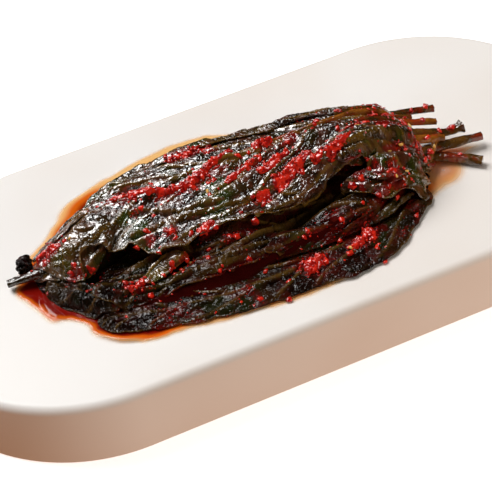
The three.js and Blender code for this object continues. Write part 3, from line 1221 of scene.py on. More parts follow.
def bunch_leaves() -> list[Leaf]:
    """The leaves of the bunch from the bottom up."""
    return [
        Leaf(
            "leaf_front_flap",
            [(45, -19.5), (37, -25), (17, -31), (-8, -34), (-34, -31), (-50, -27), (-59, -23.5)],
            [5, 7.5, 12.4, 8.6, 6.6, 6.4, 3.6],
            [2, 8, 11, 11, 11, 9, 3],
            pleat=0.3, pleats=3, crumple=0.5, rib=0.25, wet=0.6, skin=Skin.SOAKED, seed=11, drape=1.6,
            pucker=0.06, over=1.2, nodes=("leaves_lowest",),
        ),
        Leaf(
            "leaf_back_low",
            [(46, 0), (28, 14), (2, 23.5), (-24, 27), (-43, 19.6), (-57, 9.6)],
            [4, 9, 12, 12, 9, 1],
            [2, 3, 3, 2, 2, 1],
            pleat=0.6, wet=0.35, seed=23,
        ),
        Leaf(
            "leaf_tip_low",
            [(-49, -21), (-55, -16.5), (-60.5, -10.5), (-67, -3)],
            [3.5, 6, 5.5, 2.5],
            [4, 5, 4, 1],
            pleat=0.9, pleats=4, crumple=1.9, wet=0.3, skin=Skin.SHADED, seed=31, over=-0.8,
        ),
        Leaf(
            "leaf_back_high",
            [(46, 1), (36, 10), (14, 18), (-12, 21.5), (-36, 17.5), (-52, 13)],
            [4, 8, 10, 10, 9, 1],
            [2, 3, 3.5, 4, 3.5, 2],
            pleat=0.6, wet=0.3, seed=57,
        ),
        Leaf(
            "leaf_hollow",
            [(-28, -13), (-36, -11.5), (-44, -9.5), (-52, -8)],
            [4, 4, 3, 2],
            [5, 6, 5, 2],
            pleat=0.9, pleats=4, crumple=1.2, wet=0.3, skin=Skin.SOAKED, seed=63,
            lifts=[Lift(0.55, 0.4, 1.2, depth=0.3, tint=0.5)],
        ),
        Leaf(
            "leaf_middle_front",
            [(51, -11), (32, -15), (12, -18.5), (-8, -20.5), (-26, -21), (-42, -19.5), (-57, -16)],
            [5, 6, 8, 7, 6.5, 7, 4],
            [3, 6, 7, 8, 8, 8.5, 7],
            pleat=0.7, pleats=4, crumple=0.4, wet=0.3, skin=Skin.SOAKED, seed=61, vein_rise=0.6,
            furrows=FRONT_FURROWS,
            lifts=[Lift(0.5, 0.35, 1.2, depth=0.16), Lift(0.78, 0.12, 2.2, side=1, depth=0.3, tint=0.9)],
        ),
        Leaf(
            "leaf_hollow_rim",
            [(-28, -18), (-33, -17.6), (-38, -18.6), (-43, -21)],
            [0.8, 2.2, 3, 1],
            [0.8, 2.6, 2.8, 1],
            pleat=0.3, crumple=0.7, wet=0.1, seed=151, over=1.4,
            lifts=[Lift(0.6, 0.3, 1.3, side=1, depth=0.4, tint=0.9)],
        ),
        Leaf(
            "leaf_right_fold",
            [(46, -18.5), (41, -20), (33, -22), (20, -25), (4, -26), (-8, -26.5)],
            [3, 6, 7, 5, 4, 1],
            [3, 4, 4, 4, 4, 1],
            pleat=1.1, pleats=2, crumple=1.2, wet=0.5, skin=Skin.SOAKED, seed=43, over=1.0,
            lifts=[Lift(0.45, 0.3, 2.2, side=1), Lift(0.3, 0.25, 1.6)],
        ),
        Leaf(
            "leaf_middle_back",
            [(48, -2), (32, 5), (8, 11), (-20, 13), (-42, 11), (-56, 8)],
            [3, 9, 12, 12, 9, 1],
            [3, 6, 8, 8, 6, 1],
            pleat=0.6, wet=0.25, seed=73,
        ),
        Leaf(
            "leaf_tip_high",
            [(-45, 1.5), (-51.6, -0.6), (-59, -0.8), (-69, 3)],
            [1, 7, 6, 2.4],
            [3, 6, 6, 1.4],
            pleat=0.6, pleats=4, crumple=1.0, wet=0.45, seed=65, taut=2.2, over=-0.6,
        ),
        Leaf(
            "leaf_main",
            [
                (48, -4), (40, -2.5), (29, 0), (17, 1), (4, 1), (-10, 1.6), (-24, 5), (-38, 7), (-51, 6.4),
                (-61, 4.6), (-68, 2.4),
            ],
            [
                4, 7.5, 11, 13.4, 14.2, 14.8, 15.2, 16, 16.8, 17.6, 18.6, 19.8, 21, 20.5, 19, 16.5, 11.5,
                8.8, 14.2, 10.6, 3,
            ],
            [2.5, 4, 7, 10, 10.4, 10, 8, 7, 6, 5, 2],
            pleat=0.5, pleats=4, crumple=0.34, tip_crumple=0.5, rib=0.7, wet=0.16, seed=91, drape=2.2,
            taut=2.4, pucker=0.06, spacing=0.36, furrows=MAIN_FURROWS, nodes=("leaf_top",),
            lifts=[Lift(0.72, 0.18, 1.9, depth=0.12, tint=0.4), Lift(0.42, 0.3, 1.6, depth=0.12)],
        ),
        Leaf(
            "leaf_tip_fold",
            [(-47, 9), (-54, 9), (-60, 7.6), (-67, 5)],
            [1, 4, 4.5, 2],
            [1, 2.6, 2.4, 1.5],
            pleat=0.8, pleats=3, wet=0.5, seed=103,
        ),
        Leaf(
            "leaf_ridge_front",
            [(49, -8), (40, -9), (30, -11), (20, -13), (8, -15.5), (-6, -16.5)],
            [1, 2.6, 3, 2.2, 2, 0.6],
            [1.5, 3, 3.4, 3.2, 2.6, 0.6],
            pleat=0.7, pleats=2, crumple=0.7, rib=0.8, wet=0.15, seed=117, over=1.0,
        ),
        Leaf(
            "leaf_ridge_back",
            [(47, 2), (38, 4), (24, 7.5), (8, 10.5), (-10, 13.5), (-30, 14.5)],
            [1.5, 2.4, 3.2, 1.4, 3.4, 1.6, 2.8, 0.8],
            [1.5, 2, 2.4, 3, 3, 0.8],
            pleat=0.12, pleats=1, crumple=1.1, rib=0.7, wet=0.3, seed=129, over=0.0, drape=0.7, pucker=0.2,
        ),
        Leaf(
            "leaf_neck_upper",
            [(53, -12), (45, -12), (35, -10.5), (24, -9), (12, -9)],
            [3.4, 5.6, 4.8, 6.8, 4.4, 5, 2.4, 1],
            [4, 4.4, 3.4, 2.4, 1],
            pleat=0.5, pleats=8, crumple=2.0, rib=0.3, wet=0.4, seed=133, over=0.8, pucker=0.42,
            furrows=NECK_FURROWS,
            lifts=[Lift(0.12, 0.25, 1.2, depth=0.3)],
        ),
        Leaf(
            "leaf_neck_lower",
            [(47, -17.5), (42, -18), (35, -19.4), (28, -18.6), (21, -18)],
            [2.4, 4.8, 8.6, 5.6, 7.6, 4.2, 3, 0.8],
            [2.5, 3.4, 4.4, 2.6, 0.8],
            pleat=0.6, pleats=5, crumple=2.0, rib=0.3, wet=1.2, seed=139, over=0.3, pucker=0.4, drape=1.0,
            lifts=[Lift(0.5, 0.3, 1.2, depth=0.2, tint=0.3)],
        ),
    ]


@dataclass(frozen=True)
class Fold:
    """A long fold of the bunch, or a hollow in it.

    Attributes:
        way: Its line in plan.
        half_width: How far it reaches to either side.
        height: How far it stands up, or less than 0 for how deep it is.
        whole: Whether the whole bunch follows it, or only the core under the leaves.
    """

    way: tuple[Point, ...]
    half_width: float
    height: float
    whole: bool = False

    def rise(self, x: Array, y: Array) -> Array:
        """How far it raises or lowers the bunch at each place in plan."""
        away = distance(x, y, spline(self.way, np.linspace(0, 1, 24)))
        return self.height * np.exp(-((away / self.half_width) ** 2))


@dataclass
class Core:
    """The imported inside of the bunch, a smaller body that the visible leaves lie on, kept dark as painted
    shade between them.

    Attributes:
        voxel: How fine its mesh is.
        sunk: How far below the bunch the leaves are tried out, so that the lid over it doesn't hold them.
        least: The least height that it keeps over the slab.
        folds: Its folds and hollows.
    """

    voxel: float = 1.0
    sunk: float = 6.0
    least: float = 0.3
    folds: tuple[Fold, ...] = (
        Fold(((20, -17.0), (16, -18), (10, -19.8), (2, -21.4)), 1.9, -7.0),
        Fold(((-20, -18), (-28, -17), (-38, -12.5)), 2.2, -4.0),
        Fold(((14, -29), (4, -29), (-8, -29.4), (-20, -29.4), (-34, -28.6), (-50, -26.6)), 2.6, -6.4),
        Fold(((22, -21.5), (6, -24), (-14, -24), (-33, -24)), 2.6, 1.4),
        Fold(((-36, -8), (-45, -6.5)), 4.2, -9.0),
        Fold(((-49, -14), (-53, -12)), 2.4, -3.0),
        Fold(((-56, -13), (-63, -9)), 4.6, -7.0),
        Fold(((41, -24), (45, -23)), 3.0, -6.0),
        Fold(((36, -17), (43, -15.5), (50, -14)), 2.6, -3.0),
        Fold(((24, 14), (12, 18), (2, 22)), 5.0, -3.2, whole=True),
        Fold(((10, -28.6), (-8, -29), (-20, -29.2), (-34, -28.4), (-48, -26)), 1.9, -2.6, whole=True),
        Fold(((46, 0), (40, 3.4), (33, 6.4)), 4.0, -2.6, whole=True),
        Fold(((-50, -11), (-57, -8), (-65, -6)), 5.0, -5.0, whole=True),
        Fold(((-44, -3), (-50, -3.4)), 4.0, -2.4, whole=True),
        Fold(((-50, 14), (-57, 9), (-66, 7)), 5.0, -3.4, whole=True),
    )

    def build(self, ground: Ground, leaves: list[Leaf], material: bpy.types.Material) -> None:
        """Makes one body of the solid leaves, lowered so that the leaves over it end at their height.

        Args:
            ground: The ground to raise.
            leaves: The leaves that will lie on it.
            material: The finish of what shows between leaves, dark as painted shade.
        """
        copies = []
        for node in LEAF_NODES:
            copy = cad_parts[node].copy()
            copy.data = copy.data.copy()
            copy.hide_render = False
            for key in list(copy.keys()):
                del copy[key]
            copy.parent = None
            copy.matrix_world = Matrix.Identity(4)
            bpy.context.collection.objects.link(copy)
            copies.append(copy)
        core = joined(copies, "leaf_core")
        apply_modifier(core, "REMESH", mode="VOXEL", voxel_size=self.voxel * MM)
        apply_modifier(core, "SMOOTH", factor=0.8, iterations=6)
        wanted = self._heights(core, ground)
        x, y = ground.places()
        for fold in self.folds:
            if fold.whole:
                wanted = np.maximum(wanted + fold.rise(x, y), TOP)
        trial = Ground(heights=wanted - self.sunk)
        for leaf in leaves:
            leaf.lay(trial)
        load = ground.blurred(trial.heights - (wanted - self.sunk), 2.0)
        target = wanted - TOP - load - self.least
        for fold in self.folds:
            if not fold.whole:
                target += fold.rise(x, y)
        share = ground.blurred(np.maximum(target, self.least) / np.maximum(wanted - TOP, 2 * self.least), 1.2)
        places = vertices_of(core) / MM
        kept = np.clip(ground.at(places[:, 0], places[:, 1], share), 0, 1)
        over = np.clip(places[:, 2] - TOP, 0, None) * kept
        places[:, 2] = TOP + np.maximum(over, self.least)
        set_vertices(core, places * MM)
        ground.heights = self._heights(core, ground)
        ground.finished = ground.blurred(wanted, 0.8)
        # Little sauce on the core keeps the gaps between the leaves dark: painted shade.
        mark_skin(core, places, 0.0, 0.3)
        finish_piece(core, material, "leaf", "leaves_lower", "leaves_middle", "leaves_upper")

    @staticmethod
    def _heights(body: bpy.types.Object, ground: Ground) -> Array:
        """The height of a body over each grid point of the ground."""
        tree = BVHTree.FromObject(body, bpy.context.evaluated_depsgraph_get())
        x, y = ground.places()
        heights = np.full(x.shape, TOP)
        down = Vector((0, 0, -1))
        for i, j in np.ndindex(x.shape):
            hit = tree.ray_cast(Vector((x[i, j] * MM, y[i, j] * MM, 1.0)), down)[0]
            if hit is not None:
                heights[i, j] = hit.z / MM
        return heights


# ---------------------------------------------------------------- stalks and tips


class Tone(Enum):
    """The tones of stalk."""

    OLIVE = "olive"
    ORANGE = "orange"
    DARK = "dark"


@dataclass
class Stalk:
    """A round stalk swept along a way, with a cut end.

    Attributes:
        name: The piece's name.
        way: Points [x, y, height over the slab, radius] from inside the bunch to the cut end.
        node: The solid node that it replaces.
        flare: How much wider the cut end is.
        seed: Picks its unevenness.
        on_top: Whether it lies on the leaves, or runs out from under them.
        tone: Its tone.
        sides: How many faces there are round it.
        step: How long each of them is.
    """

    name: str
    way: list[Point]
    node: str | None = None
    flare: float = 0.0
    seed: int = 1
    on_top: bool = False
    tone: Tone = Tone.OLIVE
    sides: int = 20
    step: float = 0.6

    def build(self, ground: Ground, material: bpy.types.Material) -> None:
        """Sweeps the stalk, over the leaves where it would run through them.

        Args:
            ground: What the stalk lies on.
            material: Its skin.
        """
        length = length_of([point[:3] for point in self.way])
        piece, along, across = sheet_grid(self.name, round(length / self.step), self.sides)
        centre = spline(self.way, along)
        ahead = spline(self.way, along + 1e-3)[:, :3] - spline(self.way, along - 1e-3)[:, :3]
        ahead /= np.linalg.norm(ahead, axis=1, keepdims=True) + 1e-12
        side = unit(np.cross(ahead, np.array([0.0, 0.0, 1.0])))
        over = np.cross(side, ahead)
        angle = across * np.pi
        wrap = np.stack([np.cos(angle) * 1.2 + 5, np.sin(angle) * 1.2 + 5], 1)
        uneven = 1 + 0.16 * layered_noise(along * length / 4 + wrap[:, 0], wrap[:, 1], self.seed)
        uneven += 0.07 * np.cos(5 * angle + 2 * along)
        radius = centre[:, 3] * uneven * (1 + self.flare * eased(0.88, 1.0, along))
        out = np.cos(angle)[:, None] * side + np.sin(angle)[:, None] * over * 0.86
        centre[:, 2] += TOP
        if self.on_top:
            floor = ground.at(centre[:, 0], centre[:, 1], ground.blurred(ground.heights, 1.5))
            bury = 0.5 * (1 - eased(0.0, 0.4, along))
            centre[:, 2] = np.maximum(centre[:, 2], floor + centre[:, 3] * (0.4 - bury))
        places = centre[:, :3] + out * radius[:, None]
        places[:, 2] = np.maximum(places[:, 2], TOP + 0.12)
        ground.raise_to(places[:, 0], places[:, 1], places[:, 2])
        set_vertices(piece, places * MM)
        close_tube(piece)
        finish_piece(piece, material, "stalk", self.node)
        bpy.ops.object.shade_smooth_by_angle(angle=math.radians(45))


def bunch_stalks() -> list[Stalk]:
    """The stalks from the lowest up."""
    return [
        Stalk(
            "stalk_low_cut",
            [(40, -12, 4, 1.4), (52, -10.8, 2.8, 1.5), (59.4, -13.6, 2.0, 1.7), (67, -20, 1.6, 1.5)],
            "stalk_low", seed=15,
        ),
        Stalk(
            "stalk_long_cut",
            [(38, -10, 7, 1.4), (53, -9.9, 5, 1.6), (62, -10.4, 4, 1.6), (71.6, -11, 3.2, 1.3)],
            "stalk_long", seed=9,
        ),
        Stalk(
            "stalk_split_cut",
            [
                (38, -4, 11, 1.1), (48, -4.8, 9.2, 1.3), (58, -6.8, 6.8, 1.3), (63, -7.2, 6.0, 1.2),
                (67, -7.0, 6.2, 1.5),
            ],
            "stalk_split", flare=0.5, seed=7,
        ),
        Stalk(
            "stalk_drooped_cut",
            [(60, -6.6, 7.0, 0.8), (57.4, -8.6, 6.6, 1.0), (54.6, -11.4, 5.0, 1.0), (52, -13.8, 3.2, 0.9)],
            "stalk_drooped", seed=13, tone=Tone.ORANGE,
        ),
        Stalk(
            "stalk_back_cut",
            [(32, 4, 12, 0.8), (43.8, 4.2, 12, 1.1), (52.2, 3.6, 10.2, 1.15), (63, 3.4, 7.7, 1.2)],
            "stalk_back", seed=3, on_top=True,
        ),
        Stalk(
            "stalk_under_top",
            [
                (30, -4, 14, 0.6), (38, -3.8, 13, 0.9), (46, -5, 11, 1.2), (54, -6, 8.4, 1.3),
                (61, -6.9, 6.4, 1.2),
            ],
            seed=4, on_top=True,
        ),
        Stalk(
            "stalk_top_cut",
            [
                (-5, 1.8, 19, 0.3), (5, 1.8, 19, 0.42), (17, 0.9, 18.6, 0.6), (28, 0, 18, 0.8),
                (37, 0.2, 16.4, 1.2), (46, -0.8, 12.6, 1.3), (53, -2.0, 10.2, 1.2),
                (60.4, -3.4, 8.2, 1.05),
            ],
            "stalk_top", seed=5, on_top=True, tone=Tone.ORANGE,
        ),
        Stalk(
            "stalk_beside_top",
            [(30, 2.4, 17, 0.4), (38, 2.4, 16, 0.7), (46, 1.6, 13, 0.8), (54, 0.4, 10, 0.8)],
            seed=6, on_top=True,
        ),
        Stalk(
            "stalk_low_orange",
            [(40, -6, 9, 1.2), (48, -7, 8.8, 1.6), (55, -8.2, 7.4, 1.5), (60, -9, 6.2, 1.1)],
            seed=8, tone=Tone.ORANGE,
        ),
        Stalk(
            "tip_stub_cut",
            [(-60, -1, 3.8, 1.1), (-65.4, 0.6, 3.8, 1.5), (-71, 2, 3.0, 1.5), (-77, 3.3, 2.1, 1.35)],
            "tip_stub", seed=17, tone=Tone.DARK,
        ),
    ]


@dataclass
class TipCurl:
    """The small curled leaf end that stands out at the tips.

    Attributes:
        turns: How often it is rolled round.
        length: How long the roll is.
        shift: How far its middle lies from the middle of its solid.
    """

    turns: float = 1.35
    length: float = 5.0
    shift: Point = (1.2, -0.8, -0.6)

    def build(self, material: bpy.types.Material) -> None:
        """Rolls a small sheet into the place of its solid.

        Args:
            material: The leaf's skin.
        """
        low, high = (np.array(corner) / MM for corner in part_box("tip_curl"))
        middle = (low + high) / 2 + np.array(self.shift)
        piece, along, across = sheet_grid("tip_curl_leaf", 60, 24)
        angle = along * self.turns * 2 * np.pi
        radius = 0.8 + 1.8 * along
        radius += 1.0 * noise(along * 9, across * 2, 5) + 0.4 * noise(along * 21, across * 4, 6)
        reach = across * self.length / 2 * (1 - 0.35 * along**2) + 0.3 * noise(along * 7, across, 8)
        axis = np.array([math.sin(math.radians(20)), math.cos(math.radians(20)), 0.0])
        side = np.array([axis[1], -axis[0], 0.0])
        places = middle + axis * reach[:, None] + side * (radius * np.cos(angle))[:, None]
        places[:, 2] += radius * np.sin(angle) * 0.9
        places[:, 2] = np.maximum(places[:, 2], TOP + 0.3)
        set_vertices(piece, places * MM)
        mark_skin(piece, np.stack([angle * radius, reach, 0 * angle], 1), 0.0, 0.1)
        apply_modifier(piece, "SOLIDIFY", thickness=0.5 * MM, offset=0.0, use_rim=True)
        finish_piece(piece, material, "leaf", "tip_curl")


# ---------------------------------------------------------------- chilli paste, flakes and seeds


@dataclass
class Lump:
    """A lump or streak of chilli paste, spread over the leaves.

    Attributes:
        name: The piece's name.
        way: Its middle line in plan.
        spread: How far it reaches to either side.
        height: How high it is heaped.
        node: The solid node that it replaces.
        seed: Picks its grains.
        pitch: How wide a face of its mesh is.
    """

    name: str
    way: list[Point]
    spread: float
    height: float
    node: str | None = None
    seed: int = 1
    pitch: float = 0.2

    def build(self, ground: Ground, material: bpy.types.Material) -> None:
        """Heaps the paste over the ground as a closed, grainy patch.

        Args:
            ground: What the lump lies on.
            material: The paste.
        """
        line = spline(self.way, np.linspace(0, 1, 40))
        low, high = line.min(0) - self.spread - 1, line.max(0) + self.spread + 1
        piece, x, y = plan_grid(self.name, low, high, self.pitch)
        ragged = 0.42 * layered_noise(x / 2.4, y / 2.4, self.seed)
        ragged += 0.16 * noise(x / 0.7, y / 0.7, self.seed + 3) - 0.1
        inside = 1 - distance(x, y, line) / self.spread + ragged
        dome = np.sqrt(np.clip(inside, 0, 1)) * (0.75 + 0.35 * noise(x / 3.1, y / 3.1, self.seed + 5))
        grains = 0.36 * puffs(x / 2.4, y / 2.4, self.seed + 7) ** 0.6
        grains += 0.16 * puffs(x / 1.3, y / 1.3, self.seed + 8)
        grains += 0.12 * layered_noise(x / 0.9, y / 0.9, self.seed + 9)
        base = ground.at(x, y, ground.blurred(ground.heights, 0.5))
        z = base - 0.5 + eased(0, 0.25, inside) * (0.55 + self.height * dome + grains * (0.5 + 0.5 * dome))
        ground.raise_to(x[inside > 0.05], y[inside > 0.05], z[inside > 0.05])
        set_vertices(piece, np.stack([x, y, z], 1) * MM)
        keep_only(piece, inside > -0.05)
        apply_modifier(piece, "SOLIDIFY", thickness=0.5 * MM, offset=-1.0, use_rim=True)
        finish_piece(piece, material, "paste", self.node)


def paste_lumps() -> list[Lump]:
    """The lumps of paste, the large ones first."""
    return [
        Lump("paste_streak_left", [(-39, 7), (-34, 5.6), (-30.5, 3.4)], 1.5, 1.1, "paste_streak_tip", 2),
        Lump(
            "paste_streak_long", [(-29.6, 3), (-24, 0.8), (-18, 0.4), (-13.6, 1)],
            1.6, 1.1, "paste_streak_middle", 3,
        ),
        Lump("paste_streak_right", [(-12, 2.2), (-7.4, 2.6), (-4, 3.6)], 1.3, 0.8, "paste_streak_neck", 4),
        Lump("paste_behind", [(3.4, 1.2), (8.4, 1.6)], 1.5, 1.1, "paste_back", 5),
        Lump("paste_ridge_left", [(-8.4, -4.6), (-3, -3.4), (0.6, -2.6)], 1.2, 0.8, "paste_ridge_tip", 6),
        Lump("paste_ridge_middle", [(1.6, -6.2), (6.4, -5), (11, -4)], 1.6, 1.1, "paste_ridge", 7),
        Lump("paste_crown_lump", [(5.6, -11.4), (10, -9.6), (15.4, -7)], 2.2, 1.5, "paste_crown", 8),
        Lump("paste_neck_lump", [(21.6, -12.4), (28.6, -10)], 1.8, 1.3, "paste_neck", 9),
        Lump("paste_front_lump", [(1.4, -35.4), (5.6, -34.6)], 2.6, 1.5, "paste_front", 10),
        Lump("paste_front_star", [(17.6, -34), (22.6, -32.6)], 2.8, 1.6, "paste_front_neck", 12),
        Lump("paste_dot_pleat", [(-30.4, -11.2), (-29.4, -11)], 1.2, 0.9, None, 13),
        Lump("paste_dot_lip", [(-22, -14), (-18, -14)], 1.2, 0.7, None, 14),
        Lump("paste_dot_tip", [(-64.6, 11.6), (-60, 12)], 1.6, 0.6, None, 15),
        Lump("paste_dot_left", [(-54.8, -7.2), (-53.8, -7.6)], 1.0, 0.7, None, 17),
        Lump("paste_dot_front", [(-46.6, -21), (-43.6, -20)], 1.7, 1.0, None, 18),
        Lump("paste_dot_top", [(17, -11.4), (19, -10.6)], 1.2, 0.9, None, 19),
        Lump("paste_smear_back", [(-20, 12), (-14, 11.6), (-8, 9.6)], 1.3, 0.4, None, 20),
        Lump("paste_dot_middle", [(-2, -12.8), (1, -12)], 1.1, 0.8, None, 22),
        Lump("paste_smear_tip", [(-66, 4.6), (-63, 3.2), (-60.4, 1.8)], 1.5, 0.4, None, 24),
    ]


# Flakes with a place of their own: x, y and half length.
CHIPS = (
    (55.4, 3, 1.3), (60.4, 3.2, 1.5), (63.6, -6.6, 1.9), (56.1, -3.3, 1.2), (44.7, -2.2, 1.5),
    (40.5, -3.3, 1.4), (62, -15.4, 1.2), (59.5, -7.4, 1.4), (51.4, -0.8, 1.1), (53.8, -12.2, 1.3),
    (52.6, -13.4, 1.2), (64, -7.2, 1.0), (36, -6.4, 1.3), (24.4, -19.6, 1.7), (16.4, -11, 1.6),
    (-31, -10.8, 1.6), (-24.6, -13.4, 1.3), (-29.4, -13.4, 1.2), (-40.6, -11.2, 1.2), (54.2, -9.4, 1.5),
)


@dataclass
class Scatter:
    """Loose chilli flakes or seeds, strewn over the leaves.

    Attributes:
        name: The piece's name.
        count: How many there are.
        size: Smallest and largest half length.
        flat: Thickness as a share of the half length.
        seed: Picks their places.
        fixed: Places [x, y, half length] of particular ones, which are the first of them.
    """

    name: str
    count: int
    size: Point
    flat: float
    seed: int
    fixed: tuple[Point, ...] = ()

    def build(self, ground: Ground, weight: Array, material: bpy.types.Material) -> None:
        """Models one grain, copies its mesh to every place and joins the copies.

        Args:
            ground: What the grains lie on.
            weight: How likely each grid point of the ground is to get one.
            material: Their finish.
        """
        rng = np.random.default_rng(self.seed)
        deselect()
        bpy.ops.mesh.primitive_ico_sphere_add(subdivisions=1, radius=1)
        grain = bpy.context.object
        shape = vertices_of(grain)
        faces = np.array([p.vertices[:] for p in grain.data.polygons])
        bpy.data.objects.remove(grain)
        chance = weight.ravel() / weight.sum()
        picked = rng.choice(len(chance), self.count, p=chance)
        gx, gy = ground.places()
        x = gx.ravel()[picked] + rng.uniform(-0.2, 0.2, self.count)
        y = gy.ravel()[picked] + rng.uniform(-0.2, 0.2, self.count)
        half = rng.uniform(0, 1, self.count) ** 1.9 * (self.size[1] - self.size[0]) + self.size[0]
        for i, place in enumerate(self.fixed):
            x[i], y[i], half[i] = place
        z = ground.at(x, y)
        up = ground.normals(x, y)
        turn = rng.uniform(0, 2 * np.pi, self.count)
        ahead = np.stack([np.cos(turn), np.sin(turn), np.zeros(self.count)], 1)
        side = unit(np.cross(up, ahead))
        ahead = np.cross(side, up)
        slim = rng.uniform(0.55, 0.95, self.count)
        places = []
        for i in range(self.count):
            wobble = shape * rng.uniform(0.5, 1.15, (len(shape), 1))
            local = wobble * half[i] * np.array([1, slim[i], self.flat])
            spot = np.array([x[i], y[i], z[i]]) + up[i] * half[i] * self.flat * 0.4
            places.append(spot + local @ np.stack([ahead[i], side[i], up[i]]))
        mesh = bpy.data.meshes.new(self.name)
        indices = (faces[None] + (np.arange(self.count) * len(shape))[:, None, None]).reshape(-1, 3)
        mesh.from_pydata((np.concatenate(places) * MM).tolist(), [], indices.tolist())
        piece = bpy.data.objects.new(self.name, mesh)
        bpy.context.collection.objects.link(piece)
        finish_piece(piece, material, "paste")


def strewing(ground: Ground, leaves: Array) -> Array:
    """How likely each grid point is to get a flake: in drifts, and mostly on the upper leaves."""
    x, y = ground.places()
    drifts = eased(0.0, 0.9, layered_noise(x / 7, y / 5, 77))
    band = np.exp(-(((y + 4 - 0.15 * x) / 20) ** 2))
    return leaves * (0.04 + drifts * band * 0.7 + 1.5 * patched(SMEARS, x, y))


# ---------------------------------------------------------------- the sauce


@dataclass
class Pool:
    """The film of chilli brine that has run out round the bunch.

    Attributes:
        low: The lowest corner of the film's grid in plan.
        high: Its highest corner.
        pitch: Its spacing.
        lid: How high the film may stand over the slab.
        outline: Where it ends, in plan.
        beads: Lines along which it stands up against the leaves, each point with a height.
    """

    low: Point = (-84.0, -50.0)
    high: Point = (80.0, 46.0)
    pitch: float = 0.4
    lid: float = 1.4
    outline: tuple[Point, ...] = (
        (-76.5, 1.5), (-76, -2), (-73.5, -9), (-71, -16.5), (-66, -19.6), (-63.3, -23), (-63, -27),
        (-59.6, -32), (-55.6, -35.6), (-50.3, -37.8), (-45, -39.2), (-37, -40), (-30.5, -41.2),
        (-25, -42.4), (-14, -43.6), (0, -45), (14, -43), (26, -40), (35, -32), (44, -27), (51, -25),
        (57, -24), (62, -20), (66, -14), (70, -12.5), (72, -10.5), (69, -8.6), (60, -3), (50, 4),
        (38, 14), (24, 24), (12, 33), (3, 37.5), (-4, 39), (-12, 39.8), (-20, 39), (-28, 37.4),
        (-33, 36), (-38, 35), (-44, 32.8), (-50.6, 30), (-55.4, 25.4), (-60.4, 20.2), (-65.4, 15.8),
        (-70, 12.4), (-74, 6.8),
    )
    beads: tuple[tuple[Point, ...], ...] = (
        ((-69.4, -4.6, 0.5), (-69.8, -9, 1.0), (-69, -13.6, 1.1), (-67, -16.4, 0.5)),
        ((-61, -26, 0.5), (-59, -30, 0.9), (-54.6, -33.8, 1.0), (-49, -35.6, 0.5)),
    )

    def build(self, material: bpy.types.Material) -> None:
        """Lays a film that thins towards its outline.

        Args:
            material: The brine.
        """
        piece, x, y = plan_grid("brine_pool", self.low, self.high, self.pitch)
        inside = self._depth_inside(x, y, self.outline)
        inside += 0.5 * noise(x / 6, y / 6, 61) + 0.2 * noise(x / 2.2, y / 2.2, 62)
        left = 1 - eased(-42, -26, x)
        end = 1 - eased(-66, -54, x)
        front = 1 - eased(-20 + 20 * end, -4 + 9 * end, y)
        fade = 7.8 - 1.6 * (1 - eased(-66, -52, x)) * front - 2.4 * front
        strong = np.maximum(left * (0.82 + 0.18 * front), 0.2 + 0.6 * front)
        strong = np.minimum(strong, 1 - 0.78 * eased(40, 52, x))
        between = np.exp(-(((x - 60) / 5) ** 2) - ((y + 10) / 2.2) ** 2)
        depth = eased(0.0, 1.0, inside / fade) * strong * (0.9 + 0.15 * noise(x / 5, y / 5, 71))
        depth += 0.4 * between
        z = TOP + 0.05 + 0.3 * eased(0.2, 1.8, inside) * strong
        for bead in self.beads:
            for bx, by, height in spline(bead, np.linspace(0, 1, 60)):
                swell = TOP + height * np.exp(-(((x - bx) ** 2 + (y - by) ** 2) / 1.5**2))
                z = np.maximum(z, swell)
        set_vertices(piece, np.stack([x, y, np.minimum(z, TOP + self.lid)], 1) * MM)
        set_attribute(piece, "depth", depth)
        faint = 0.5 * eased(48, 56, x) * (0.75 + 0.5 * noise(x / 4, y / 4, 73))
        cover = eased(-0.3, 2.2 + 2 * eased(40, 52, x), inside) ** 1.3 * 0.97 * (1 - faint)
        set_attribute(piece, "cover", cover)
        keep_only(piece, inside > -0.6)
        finish_piece(piece, material, "paste")

    @staticmethod
    def _depth_inside(x: Array, y: Array, outline: Sequence[Point]) -> Array:
        """How far inside an outline each place is, less than 0 outside."""
        corners = spline([*outline, outline[0]], np.linspace(0, 1, 6 * len(outline) + 1))
        nearest = np.full(x.shape, FAR)
        odd = np.zeros(x.shape, bool)
        for (ax, ay), (bx, by) in zip(corners[:-1], corners[1:]):
            along = ((x - ax) * (bx - ax) + (y - ay) * (by - ay)) / ((bx - ax) ** 2 + (by - ay) ** 2)
            along = np.clip(along, 0, 1)
            nearest = np.minimum(nearest, np.hypot(x - ax - along * (bx - ax), y - ay - along * (by - ay)))
            crossing = (ay > y) != (by > y)
            odd ^= crossing & (x < (bx - ax) * (y - ay) / (by - ay + 1e-12) + ax)
        return np.where(odd, nearest, -nearest)


